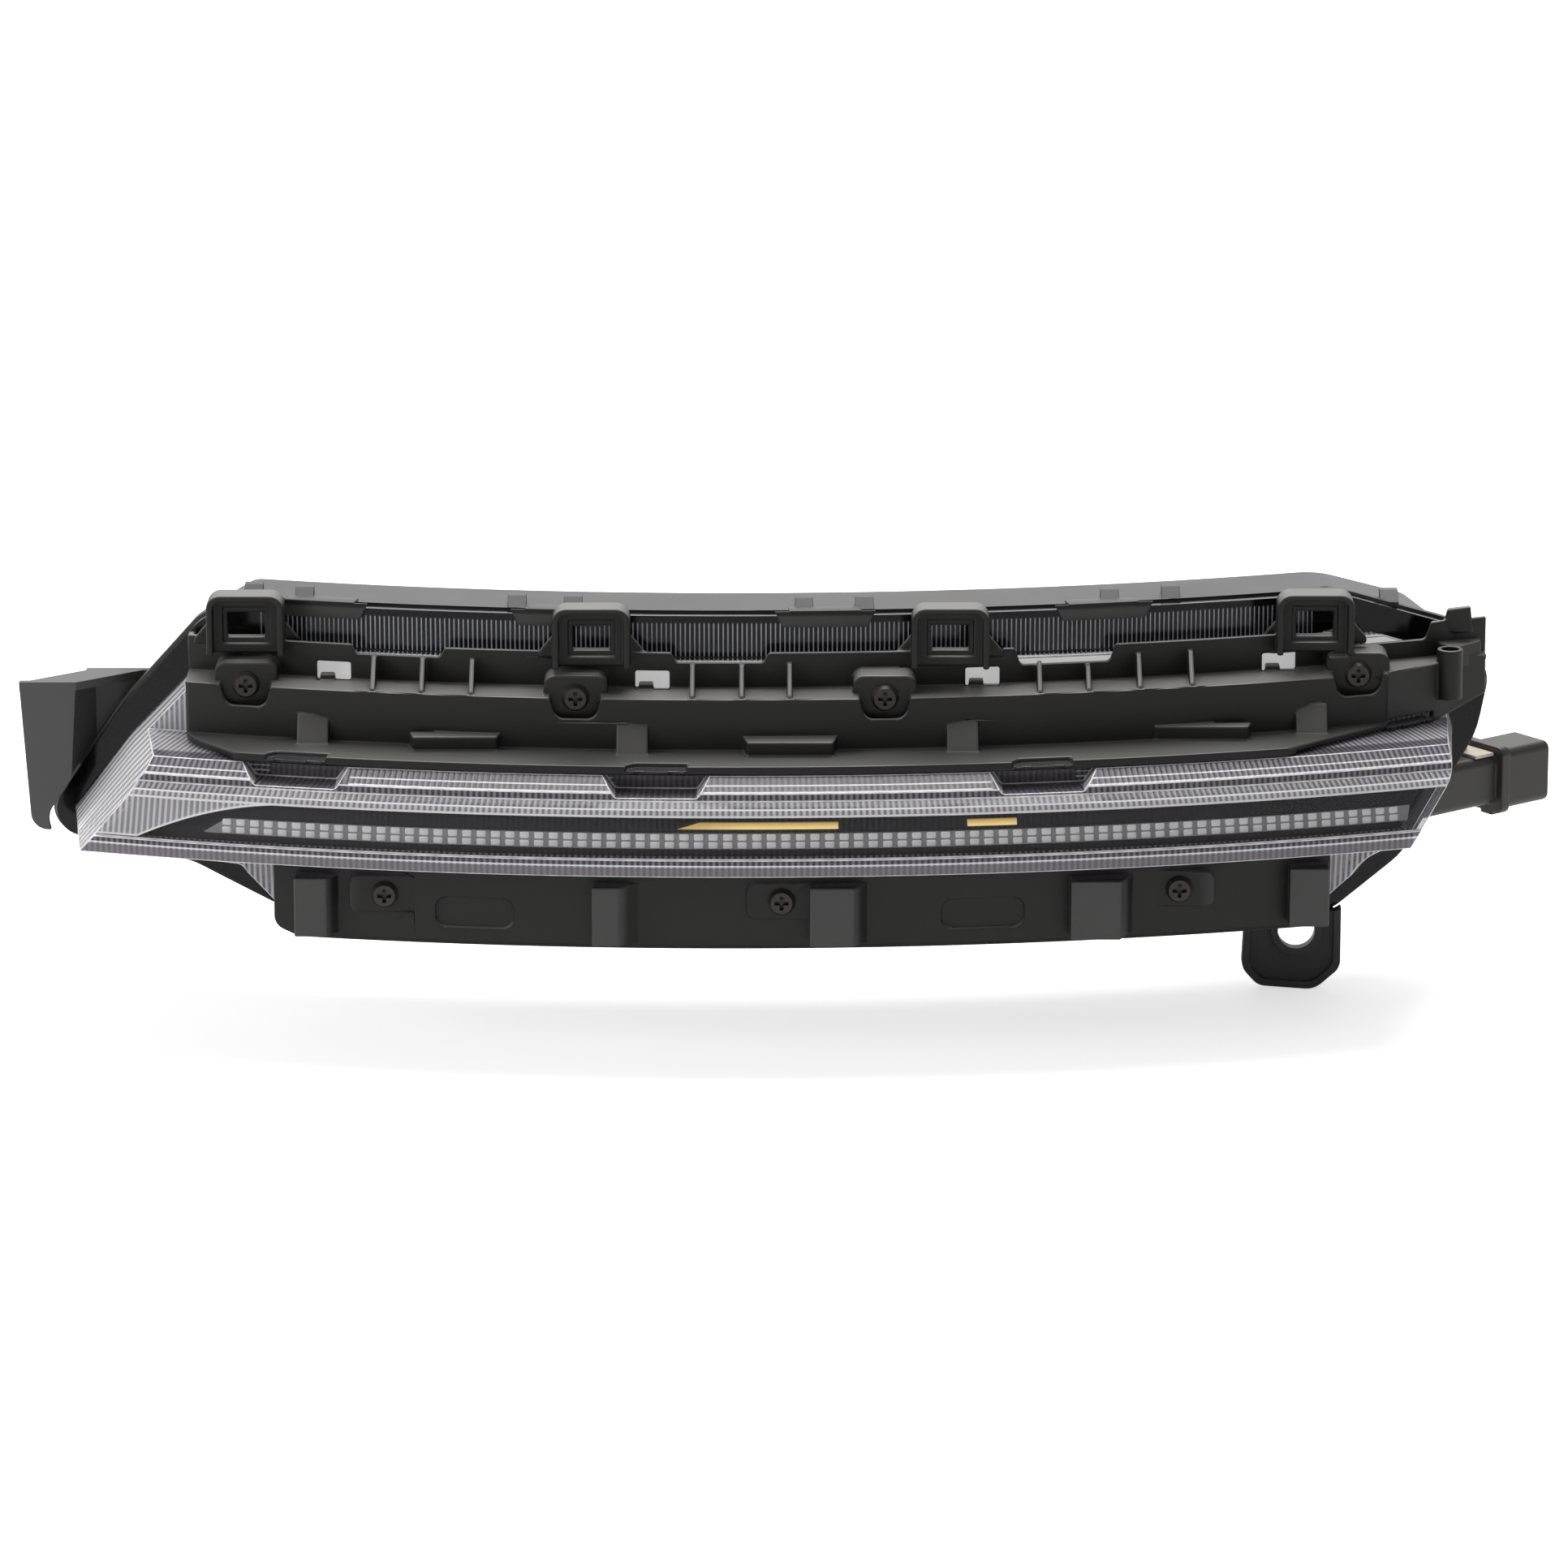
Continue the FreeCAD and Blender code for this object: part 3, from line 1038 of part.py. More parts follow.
def light_box():
    """White tray that carries the board, with legs back to the housing."""
    front = BEZEL_LOW[0] + BEZEL_THICK + BOX_GAP
    floor = BOX_BOTTOM + BOX_WALL
    wall = BOX_DEPTH - BOX_WALL
    section = [(front, BOX_BOTTOM), (front, floor), (wall, floor), (wall, BOX_TOP), (BOX_DEPTH, BOX_TOP),
               (BOX_DEPTH, BOX_BOTTOM)]
    legs = []
    for x in BACK_BOSS_XS:
        legs += tray_leg(x)
    tray = swept(section, BOX_LEFT, BOX_RIGHT).fuse(legs)
    return tray.cut([module_bore(x) for x in BACK_BOSS_XS]).removeSplitter()


def led_board():
    back = BOX_DEPTH - BOX_WALL
    return curved_band(back - BOARD_THICK, back, BOARD_BOTTOM, BOARD_TOP, BOX_LEFT + BOARD_MARGIN,
                       BOX_RIGHT - BOARD_MARGIN)


def light_emitters():
    back = BOX_DEPTH - BOX_WALL - BOARD_THICK
    low = (BOARD_BOTTOM + BOARD_TOP - LED_SIZE) / 2
    first = BOX_LEFT + LED_MARGIN
    pitch = (BOX_RIGHT - BOX_LEFT - 2 * LED_MARGIN) / (LED_COUNT - 1)
    chips = []
    for i in range(LED_COUNT):
        left = first + i * pitch - LED_SIZE / 2
        chips.append(curved_band(back - LED_HEIGHT, back, low, low + LED_SIZE, left, left + LED_SIZE))
    return Part.makeCompound(chips)


def heat_sink():
    """Finned bar on the back of the tray, above the legs."""
    low = LEG_TOP + SINK_GAP
    root = BOX_DEPTH + SINK_BASE
    tip = root + SINK_FIN_LENGTH
    base = curved_band(BOX_DEPTH, root, low, BOX_TOP, SINK_LEFT, SINK_RIGHT)
    pitch = (BOX_TOP - low - SINK_FIN) / (SINK_FIN_COUNT - 1)
    fins = []
    for i in range(SINK_FIN_COUNT):
        z = low + i * pitch
        fins.append(curved_band(root - SINK_BASE / 2, tip, z, z + SINK_FIN, SINK_LEFT, SINK_RIGHT))
    return base.fuse(fins).removeSplitter()


def module_screws():
    """Hexagon screws from the back through the housing bosses into the tray's feet."""
    screws = []
    for x in BACK_BOSS_XS:
        seat = arc_y(x, HOUSING_BACK_DEPTH) + BACK_BOSS_RISE
        corners = [math.radians(60 * i) for i in range(6)]
        outline = [(x + HEAD_RADIUS * math.sin(a), BACK_BOSS_Z + HEAD_RADIUS * math.cos(a)) for a in corners]
        head = slab(outline, seat, seat + HEAD_RISE)
        screws.append(head.fuse(rod(x, seat, BACK_BOSS_Z, SHANK_RADIUS, MODULE_SHANK, FRONT)))
    return Part.makeCompound(screws)


def upper_reflector():
    """White panel behind the upper step of the lens, hung from the back wall."""
    front = REFLECTOR_DEPTH
    back = HOUSING_INNER_DEPTH - REFLECTOR_GAP
    wall = REFLECTOR_WALL
    shelf = REFLECTOR_BOTTOM + wall
    section = [(front, REFLECTOR_BOTTOM), (front, REFLECTOR_TOP), (front + wall, REFLECTOR_TOP),
               (front + wall, shelf), (back, shelf), (back, REFLECTOR_BOTTOM)]
    return swept(section, REFLECTOR_LEFT, REFLECTOR_RIGHT)


def turned(shape):
    """Connector pieces are drawn along X, then turned back towards the rear."""
    shape = shape.copy()
    shape.rotate(V(PLUG_LEFT, PLUG_Y, 0), UP, PLUG_YAW)
    return shape


def plug_bar(x_from, x_to, margin):
    """Rounded bar along X with the section of the plug, grown by a margin."""
    outline = frame_outline(PLUG_Y - margin, PLUG_Y + PLUG_DEPTH + margin, PLUG_BOTTOM - margin,
                            PLUG_TOP + margin, PLUG_CORNER)
    return cheek(outline, (x_from + x_to) / 2, x_to - x_from)


def connector_shroud():
    """Socket shroud open to the outboard side, on a narrower neck from the housing wall."""
    shroud = plug_bar(PLUG_LEFT, PLUG_RIGHT, 0)
    neck = plug_bar(NECK_LEFT, PLUG_LEFT, -NECK_INSET)
    collar = plug_bar(PLUG_LEFT, PLUG_LEFT + COLLAR_WIDTH, COLLAR_PROUD)
    hollow = plug_bar(PLUG_LEFT + PLUG_FLOOR, PLUG_RIGHT + PROUD, -PLUG_WALL)
    latch_y = PLUG_Y + LATCH_SIDE
    latch = box(PLUG_LEFT, PLUG_LEFT + LATCH_LENGTH, latch_y, latch_y + LATCH_WIDTH, PLUG_BOTTOM - LATCH_DROP,
                PLUG_BOTTOM + PLUG_WALL / 2)
    body = shroud.fuse([neck, collar, latch]).cut(hollow)
    return turned(body).cut([housing_block(), lens_zone(HOUSING_RIM_DEPTH + RIM_THICK)]).removeSplitter()


def connector_pins():
    left = PLUG_LEFT + PLUG_FLOOR
    z = (PLUG_BOTTOM + PLUG_TOP - PIN_SIZE) / 2
    first = PLUG_Y + (PLUG_DEPTH - PIN_SIZE - (PIN_COUNT - 1) * PIN_PITCH) / 2
    pins = []
    for i in range(PIN_COUNT):
        y = first + i * PIN_PITCH
        pins.append(box(left, left + PIN_LENGTH, y, y + PIN_SIZE, z, z + PIN_SIZE))
    return turned(Part.makeCompound(pins))


def connector_clip():
    """Natural nylon retainer that lies over the neck, with an upright tab."""
    seat = PLUG_TOP - NECK_INSET
    right = PLUG_LEFT - CLIP_GAP
    front = PLUG_Y + CLIP_SIDE
    back = front + CLIP_WIDTH
    tab_right = PLUG_LEFT - CLIP_TAB_SETBACK
    strap = box(right - CLIP_LENGTH, right, front, back, seat, seat + CLIP_THICK)
    tab_back = back - CLIP_SIDE
    tab = box(tab_right - CLIP_TAB_LENGTH, tab_right, tab_back - CLIP_TAB_WIDTH, tab_back, seat,
              seat + CLIP_TAB_RISE)
    return turned(strap.fuse(tab).removeSplitter())


def breather_caps():
    caps = []
    for x in BREATHER_XS:
        y = arc_y(x, HOUSING_BACK_DEPTH) + BREATHER_SEAT
        cap = rod(x, y, BREATHER_Z, BREATHER_RADIUS, BREATHER_HEIGHT)
        caps.append(cap.fuse(rod(x, y, BREATHER_Z, BREATHER_STEM_RADIUS, BREATHER_STEM, FRONT)))
    return Part.makeCompound(caps)


def save(name, shape):
    shape = shape.copy()
    shape.translate(V(0, 0, 0) - MOUNT_ORIGIN)
    shape.exportStep("parts/" + name + ".step")


os.makedirs("parts", exist_ok=True)
save("rear_housing", rear_housing())
save("outer_lens", outer_lens())
save("lens_seal", lens_seal())
save("upper_trim_carrier", upper_trim_carrier())
save("lower_trim_carrier", lower_trim_carrier())
save("upper_trim_screws", upper_trim_screws())
save("lower_trim_screws", lower_trim_screws())
save("inner_bezel", inner_bezel())
save("light_strip", light_strip())
save("amber_reflector_long", amber_reflector(*AMBER_LONG))
save("amber_reflector_short", amber_reflector(*AMBER_SHORT))
save("light_box", light_box())
save("led_board", led_board())
save("light_emitters", light_emitters())
save("heat_sink", heat_sink())
save("module_screws", module_screws())
save("upper_reflector", upper_reflector())
save("connector_shroud", connector_shroud())
save("connector_pins", connector_pins())
save("connector_clip", connector_clip())
save("breather_caps", breather_caps())
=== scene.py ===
# %% [markdown]
# # Dressing a driving light
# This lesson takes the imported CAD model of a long, curved vehicle lamp and dresses it in Blender.
# Read it from top to bottom: every step has a few sentences like these, then one or more short cells of code.
# All lengths are metres, in the same frame as the CAD model, so a piece goes where the CAD model says.

import json
import math

import bmesh
import bpy
from mathutils import Matrix, Vector


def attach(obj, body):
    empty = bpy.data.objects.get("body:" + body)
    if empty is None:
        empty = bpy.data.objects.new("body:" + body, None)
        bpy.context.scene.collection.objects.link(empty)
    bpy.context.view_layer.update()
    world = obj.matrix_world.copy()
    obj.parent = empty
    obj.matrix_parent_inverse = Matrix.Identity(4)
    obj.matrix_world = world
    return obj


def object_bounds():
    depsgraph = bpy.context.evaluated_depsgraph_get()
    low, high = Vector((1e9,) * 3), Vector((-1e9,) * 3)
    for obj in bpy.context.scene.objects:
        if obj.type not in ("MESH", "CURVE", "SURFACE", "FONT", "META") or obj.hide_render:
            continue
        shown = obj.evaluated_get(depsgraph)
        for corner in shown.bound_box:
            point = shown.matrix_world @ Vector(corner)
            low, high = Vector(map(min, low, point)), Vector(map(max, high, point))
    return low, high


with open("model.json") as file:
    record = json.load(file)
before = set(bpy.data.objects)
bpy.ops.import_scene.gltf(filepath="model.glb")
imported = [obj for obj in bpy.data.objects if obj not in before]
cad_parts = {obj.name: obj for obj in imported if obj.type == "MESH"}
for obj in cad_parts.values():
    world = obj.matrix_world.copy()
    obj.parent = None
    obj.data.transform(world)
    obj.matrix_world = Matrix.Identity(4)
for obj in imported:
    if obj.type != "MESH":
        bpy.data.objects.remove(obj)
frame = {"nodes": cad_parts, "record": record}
cad_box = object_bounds()
nodes = frame["nodes"]
print("nodes:", len(nodes), "box:", [[round(v, 4) for v in corner] for corner in cad_box])

# %% [markdown]
# ## The plan curve
# Seen from above, the real lamp bends round the corner of a vehicle: its trims and its nose follow one arc.
# Detail could be placed by X and Y, but then every place would need its own sum.
# Three numbers are easier: the distance along the arc, the depth behind the nose, and the height above the
# nose's lower edge. `on_curve` turns those three into a place and a turn.

# %% Plan curve
MM = 0.001
PLAN_RADIUS = 750 * MM
AXIS_X = -199.3 * MM
AXIS_Y = 654 * MM
NOSE_Z = 46.4 * MM


def on_curve(along, depth, height):
    """Matrix that puts a piece on the curve: X along it, Y back from the nose, Z up."""
    turn = Matrix.Rotation(along / PLAN_RADIUS, 4, "Z")
    axis = Matrix.Translation((AXIS_X, AXIS_Y, NOSE_Z + height))
    return axis @ turn @ Matrix.Translation((0, depth - PLAN_RADIUS, 0))


print("nose at the middle:", [round(v, 4) for v in on_curve(0, 0, 0).translation])

# %% [markdown]
# ## Shader arithmetic
# A finish is a sum: a mask times a colour, a ripple less a window. Wiring the maths nodes by hand is slow to
# write and slower to read. `Wire` holds one socket and lets plain operators build the nodes, so that
# `1 - a * b` adds a multiply node and a subtract node. `node` makes any other kind of node.

# %% A socket that does sums


class Wire:
    """One output socket of a shader tree that can be used in sums."""

    def __init__(self, tree, socket):
        self.tree = tree
        self.socket = socket

    def node(self, kind, inputs=None, out=0, **settings):
        """A new node of any kind in the same tree; inputs are wires or plain values by socket name."""
        made = self.tree.nodes.new(kind)
        for name, value in settings.items():
            setattr(made, name, value)
        for name, value in (inputs or {}).items():
            if isinstance(value, Wire):
                self.tree.links.new(value.socket, made.inputs[name])
            else:
                made.inputs[name].default_value = value
        return Wire(self.tree, made.outputs[out])

    def math(self, operation, first, second=0.0):
        return self.node("ShaderNodeMath", {0: first, 1: second}, operation=operation)

    def __add__(self, other):
        return self.math("ADD", self, other)

    def __radd__(self, other):
        return self.math("ADD", other, self)

    def __sub__(self, other):
        return self.math("SUBTRACT", self, other)

    def __rsub__(self, other):
        return self.math("SUBTRACT", other, self)

    def __mul__(self, other):
        return self.math("MULTIPLY", self, other)

    def __rmul__(self, other):
        return self.math("MULTIPLY", other, self)

    def ramp(self, start, end):
        """0 at start, 1 at end, clamped."""
        inputs = {"Value": self, "From Min": start, "From Max": end}
        return self.node("ShaderNodeMapRange", inputs, clamp=True)

    def above(self, level, soft):
        """1 above a level and 0 below it; soft is half the width of the change."""
        return self.ramp(level - soft, level + soft)

    def below(self, level, soft):
        """1 below a level and 0 above it."""
        return self.ramp(level + soft, level - soft)

    def between(self, low, high, soft):
        """1 inside the range low to high and 0 outside it."""
        return self.above(low, soft) * self.below(high, soft)

    def wave(self, pitch):
        """Even ripple from 0 to 1, one crest each pitch."""
        return 0.5 + 0.5 * self.math("SINE", self * (2 * math.pi / pitch))

    def choose(self, low, high):
        """Colour that runs from low to high as this wire runs from 0 to 1; low and high may be wires."""
        low, high = [c if isinstance(c, Wire) else c + (1,) for c in (low, high)]
        return self.node("ShaderNodeMix", {"Factor": self, 6: low, 7: high}, out=2, data_type="RGBA")

    def fade(self, low, high):
        """Number that runs from low to high as this wire runs from 0 to 1; low and high may be wires."""
        return self.node("ShaderNodeMix", {"Factor": self, 2: low, 3: high}, data_type="FLOAT")


print("a wire can be added, subtracted and multiplied")

# %% [markdown]
# ## Materials and places
# Every finish starts the same way: a principled shader, and a wire that says where on the lamp a point is.
# Object coordinates are used, because they stay with the piece in every view.
# `curve_place` does the sum of `on_curve` the other way round, so a mask can say "above this height" or
# "nearer than this depth" anywhere along the bend.

# %% Materials and places


def new_material(name):
    """An empty material, its principled shader and a wire that carries object coordinates."""
    material = bpy.data.materials.new(name)
    material.use_nodes = True
    tree = material.node_tree
    place = Wire(tree, tree.nodes.new("ShaderNodeTexCoord").outputs["Object"])
    return material, shader_of(material), place


def shader_of(material):
    return material.node_tree.nodes["Principled BSDF"]


def place_in(material):
    """The wire that carries object coordinates in a finished material."""
    tree = material.node_tree
    return Wire(tree, tree.nodes["Texture Coordinate"].outputs["Object"])


def feed(shader, **values):
    """Joins wires to sockets of a shader and sets plain values on them; underscores stand for spaces."""
    for name, value in values.items():
        socket = shader.inputs[name.replace("_", " ")]
        if isinstance(value, Wire):
            value.tree.links.new(value.socket, socket)
        else:
            socket.default_value = value


def split(wire):
    """The three parts of a wire that carries a place or a direction."""
    outputs = wire.node("ShaderNodeSeparateXYZ", {0: wire}).socket.node.outputs
    return [Wire(wire.tree, outputs[i]) for i in range(3)]


def curve_place(place):
    """Wires for the distance along the curve, the depth behind the nose and the height."""
    x, y, z = split(place)
    aside = x - AXIS_X
    ahead = AXIS_Y - y
    along = PLAN_RADIUS * aside.math("ARCTAN2", aside, ahead)
    depth = PLAN_RADIUS - aside.math("SQRT", aside * aside + ahead * ahead)
    return along, depth, z - NOSE_Z


def facing(place):
    """Wires for the three parts of the direction that a face looks in."""
    return split(place.node("ShaderNodeNewGeometry", out="Normal"))


def repaint(material, mask, colour):
    """Lays a colour over a finished material where the mask is 1."""
    shader = shader_of(material)
    under = Wire(material.node_tree, shader.inputs["Base Color"].links[0].from_socket)
    feed(shader, Base_Color=mask.choose(under, colour))


def grey(level, warm=0.0):
    """A grey, or a slightly warm one."""
    return (level * (1 + warm), level, level * (1 - warm))


print("middle grey:", grey(0.18), "a little warmer:", grey(0.18, 0.05))

# %% [markdown]
# ## Moulded plastics
# The trims, the housing and most of the inside are injection moulded, and no moulding is one flat colour.
# A painted texture could show that, but it would need a map for every piece. Two noises do the same with no
# map: a slow one shifts colour and gloss a little, and a very fine one gives the grain that breaks up
# highlights. Faces that look up can get a painted sheen: a paler colour that stands for the light from above.

# %% Moulded plastics
CLOUD_SCALE = 35.0
GRAIN_SIZE = 0.5 * MM
GRAIN_STRENGTH = 0.35
SATIN = 0.04 * MM
finishes = {}


def moulded(name, dark, light, gloss, grain=SATIN, pale=None):
    """Keeps a finish whose colour runs from dark to light, with a roughness range, a depth of grain and,
    where pale is given, a painted sheen on faces that look up.
    """
    material, shader, place = new_material(name)
    cloud = place.node("ShaderNodeTexNoise", {"Vector": place, "Scale": CLOUD_SCALE, "Detail": 3.0})
    colour = cloud.choose(dark, light)
    # Painted sheen: faces that look up are made paler, standing in for the light from above.
    if pale:
        colour = facing(place)[2].ramp(0.2, 0.95).choose(colour, pale)
    feed(shader, Base_Color=colour, Roughness=cloud.fade(*gloss))
    if grain:
        speck = place.node("ShaderNodeTexNoise", {"Vector": place, "Scale": 1 / GRAIN_SIZE, "Detail": 2.0})
        bump = {"Height": speck, "Strength": GRAIN_STRENGTH, "Distance": grain}
        feed(shader, Normal=speck.node("ShaderNodeBump", bump))
    finishes[name] = material
    return material


# The colours given as pale are painted sheen on faces that look up.
moulded("trim_black", grey(0.011, 0.05), grey(0.017, 0.05), (0.4, 0.52), pale=grey(0.17, 0.02))
moulded("housing_black", grey(0.042, 0.02), grey(0.056, 0.02), (0.36, 0.48), pale=grey(0.05))
moulded("bezel_black", grey(0.003), grey(0.005), (0.4, 0.5), grain=0.0)
# These three show most, and they mirror less than plain plastic does
for material in finishes.values():
    feed(shader_of(material), Specular_IOR_Level=0.35)
moulded("connector_black", grey(0.03, 0.06), grey(0.045, 0.06), (0.4, 0.5))
moulded("seal_black", grey(0.012), grey(0.022), (0.6, 0.8))
moulded("breather_black", grey(0.018), grey(0.03), (0.6, 0.8))
moulded("tray_white", grey(0.7), grey(0.82), (0.4, 0.55))
moulded("panel_white", grey(0.82), grey(0.9), (0.4, 0.55))
moulded("board_green", (0.03, 0.12, 0.05), (0.05, 0.18, 0.08), (0.3, 0.45))
moulded("clip_natural", (0.62, 0.54, 0.42), (0.74, 0.66, 0.54), (0.4, 0.55))
moulded("emitter_yellow", (0.7, 0.55, 0.12), (0.85, 0.7, 0.2), (0.3, 0.4))
print("plastics:", ", ".join(finishes))

# %% [markdown]
# ## Places that differ on one moulding
# On the real trims the blocks of the lower one are paler than the face behind them, the latch tongues are
# darker, and the shelf above the nose is less bright than the ledge higher up. The fronts of the roof's hooks
# are dark, and the bracket arm is pale. Apart from the bracket arm these are light and shade, so they are
# painted: a painted highlight on the blocks, painted shade on the tongues and the hook fronts, and a weaker
# painted sheen on the shelf. More materials could do that, but a moulding is one piece of one
# plastic, so masks made from place and direction repaint parts of the same material.

# %% Trims
BLOCK_TOP = -5.5 * MM
BLOCK_DEPTH = 10 * MM
TONGUE_HEIGHTS = (32.2 * MM, 33.0 * MM)
TONGUE_DEPTH = 25.5 * MM
SHELF_HEIGHTS = (33.4 * MM, 35.0 * MM)


def shade_trims(material):
    place = place_in(material)
    along, depth, height = curve_place(place)
    # Painted highlight: the blocks of the lower trim are made paler, as if lit.
    blocks = height.below(BLOCK_TOP, 0.5 * MM) * depth.below(BLOCK_DEPTH, 1 * MM)
    repaint(material, blocks, grey(0.068, 0.01))
    # Painted shade: the latch tongues are made darker.
    tongues = height.between(*TONGUE_HEIGHTS, 0.1 * MM) * depth.below(TONGUE_DEPTH, 0.5 * MM)
    repaint(material, tongues, grey(0.012))
    # Painted sheen: the shelf's level faces get a paler colour, weaker than the sheen on the ledge above.
    shelf = height.between(*SHELF_HEIGHTS, 0.2 * MM) * facing(place)[2].above(0.7, 0.2)
    repaint(material, shelf, grey(0.085, 0.02))


shade_trims(finishes["trim_black"])
print("trim shaded in", len(finishes["trim_black"].node_tree.nodes), "nodes")

# %% Housing
HOOK_FOOT = 75.85 * MM
BRACKET_X = -414.5 * MM


def shade_housing(material):
    place = place_in(material)
    along, depth, height = curve_place(place)
    # Painted shade: the fronts of the roof's hooks are made nearly black.
    shaded_hook_fronts = facing(place)[1].below(-0.475, 0.125) * height.above(HOOK_FOOT, 0.35 * MM)
    repaint(material, shaded_hook_fronts, grey(0.008))
    repaint(material, split(place)[0].below(BRACKET_X, 1.5 * MM), grey(0.085))


shade_housing(finishes["housing_black"])
print("housing shaded in", len(finishes["housing_black"].node_tree.nodes), "nodes")

# %% [markdown]
# ## Metals
# The gold strips are plastic with a thin metal coat, the screws are blackened steel, the heat sink is
# aluminium and the contacts are tinned. Each could have a shader of its own, but they differ from a moulding
# only in colour, gloss and the share of metal, so the same function makes them.

# %% Metals


def metal(name, dark, light, gloss, share):
    """A finish with a share of metal in it and half the usual grain."""
    feed(shader_of(moulded(name, dark, light, gloss, SATIN / 2)), Metallic=share)


metal("amber_gold", (0.95, 0.62, 0.14), (1.0, 0.84, 0.4), (0.25, 0.35), 0.1)
metal("screw_black", grey(0.035, 0.08), grey(0.055, 0.08), (0.4, 0.5), 0.5)
metal("sink_aluminium", grey(0.55), grey(0.7), (0.3, 0.45), 1.0)
metal("pin_tin", grey(0.5, 0.06), grey(0.66, 0.06), (0.25, 0.35), 1.0)
print("finishes so far:", len(finishes))

# %% [markdown]
# ## Gold strips and screw heads
# The gold strips get a painted highlight at their foot, and the long one starts with a slanted tip. The
# strips catch light from inside the lamp, which a little emission stands for, a painted glow. In the screw
# heads the cross is a deep recess, and the Ambient Occlusion node finds such places by itself and paints them
# dark, a painted shade, so nothing has to be drawn there.

# %% Gold strips and screw heads
GOLD_START = -18.5 * MM
GOLD_FOOT = 15.2 * MM
GOLD_SLANT = 3.4
RECESS_REACH = 1.5 * MM


def shade_gold(material):
    along, depth, height = curve_place(place_in(material))
    # Painted highlight: the gold is brightest at its foot and further along the curve, and painted darker
    # elsewhere.
    shine = height.ramp(17.8 * MM, 15.6 * MM) * along.ramp(-24 * MM, 6 * MM)
    tip = (along - GOLD_SLANT * (height - GOLD_FOOT)).below(GOLD_START, 0.3 * MM)
    repaint(material, 0.8 * (1 - shine), (0.4, 0.21, 0.045))
    repaint(material, tip, grey(0.004))
    # Painted glow: emission stands for light that the strips catch from inside the lamp.
    painted_glow = shine.choose((0.3, 0.17, 0.04), (1.0, 0.74, 0.3))
    feed(shader_of(material), Emission_Color=tip.choose(painted_glow, grey(0.0)), Emission_Strength=0.4)


def shade_recesses(material):
    # Painted shade: Ambient Occlusion turns the recesses of the screw heads nearly black.
    open_sky = place_in(material).node("ShaderNodeAmbientOcclusion", {"Distance": RECESS_REACH}, out="AO")
    repaint(material, open_sky.ramp(0.75, 0.45), grey(0.002))


shade_gold(finishes["amber_gold"])
shade_recesses(finishes["screw_black"])
print("gold shaded in", len(finishes["amber_gold"].node_tree.nodes), "nodes")

# %% [markdown]
# ## The fluted lens
# The lens is clear plastic with fine flutes inside, which scatter the light in bright and dark lines.
# Real flutes could be cut into the mesh, but there are thousands, and refraction through them is slow and
# noisy. A window with a glossy skin gives the same look: the material mixes a see-through shader with a
# principled one, and `cover` says how much of the skin shows. The bright and dark lines are painted into the
# skin's colour as painted highlights and painted shade.
# The lens is painted in layers, and each layer has a mask, a colour and a cover.

# %% Layers of the lens
FLUTE_PITCH = 2.06 * MM
NOSE_DEPTH = 26 * MM


class LensLayers:
    """The skin of the lens as it is built up: its colour, and how much of it covers the window."""

    def __init__(self, place):
        self.place = place
        self.along, self.depth, self.height = curve_place(place)
        self.nose = self.depth.below(NOSE_DEPTH, 1 * MM)
        self.flute = self.along.wave(FLUTE_PITCH)
        # Painted light and shade: each flute's dip is painted grey and its crest pale.
        self.colour = self.flute.choose((0.3, 0.29, 0.31), (0.8, 0.79, 0.83))
        self.cover = 0.5 + 0.25 * self.flute

    def lay(self, mask, colour=None, cover=None):
        """Adds a layer where the mask is 1; what isn't given stays as it was."""
        if colour is not None:
            self.colour = mask.choose(self.colour, colour)
        if cover is not None:
            self.cover = mask.fade(self.cover, cover)


print("flute pitch in mm:", FLUTE_PITCH / MM)

# %% [markdown]
# ### The nose
# The smooth front of the nose is nearly all window, and its top edge curves down to a tip at the inboard end.
# Above and below it the nose rises in small steps, and each step is a row of flutes with its own brightness,
# painted light and shade in the skin's colour. The edge between two rows catches the light as a thin bright
# line, which is painted here as a painted highlight. A table of rows and a table of lines are easier to tune
# than one long formula. The three latch pockets come last, smooth and painted dark, a painted shade.

# %% The nose
HIGHLIGHT_WHITE = (0.86, 0.85, 0.88)
WINDOW_FOOT = 6.4 * MM
WINDOW_TOP = 20.0 * MM
TIP_STARTS = -150 * MM
TIP_ENDS = -207 * MM
TIP_DROP = 13.4 * MM
TIP_LINE = 0.7 * MM
# Rows from the top down: lowest and highest height in mm, dip colour, crest colour, cover; both colours are
# painted light and shade
NOSE_ROWS = [
    (28.7, 40.0, (0.075, 0.069, 0.084), (0.2, 0.188, 0.216), 0.88),
    (27.0, 28.5, (0.07, 0.065, 0.076), (0.25, 0.24, 0.265), 0.88),
    (24.2, 26.7, (0.05, 0.047, 0.054), (0.3, 0.288, 0.316), 0.85),
    (22.1, 24.0, (0.1, 0.096, 0.107), (0.42, 0.41, 0.44), 0.88),
    (20.2, 21.9, (0.21, 0.2, 0.22), (0.66, 0.65, 0.68), 0.88),
    (4.3, 6.4, (0.035, 0.03, 0.04), (0.2, 0.185, 0.215), 0.9),
    (-2.4, 3.4, (0.16, 0.15, 0.172), (0.25, 0.237, 0.265), 0.92),
]
# Painted highlight lines along the edges of the rows: height and half width in mm
NOSE_HIGHLIGHTS = [(28.6, 0.16), (26.85, 0.26), (24.05, 0.16), (22.0, 0.22), (20.0, 0.34), (3.9, 0.22)]
ROW_SOFT = 0.08 * MM


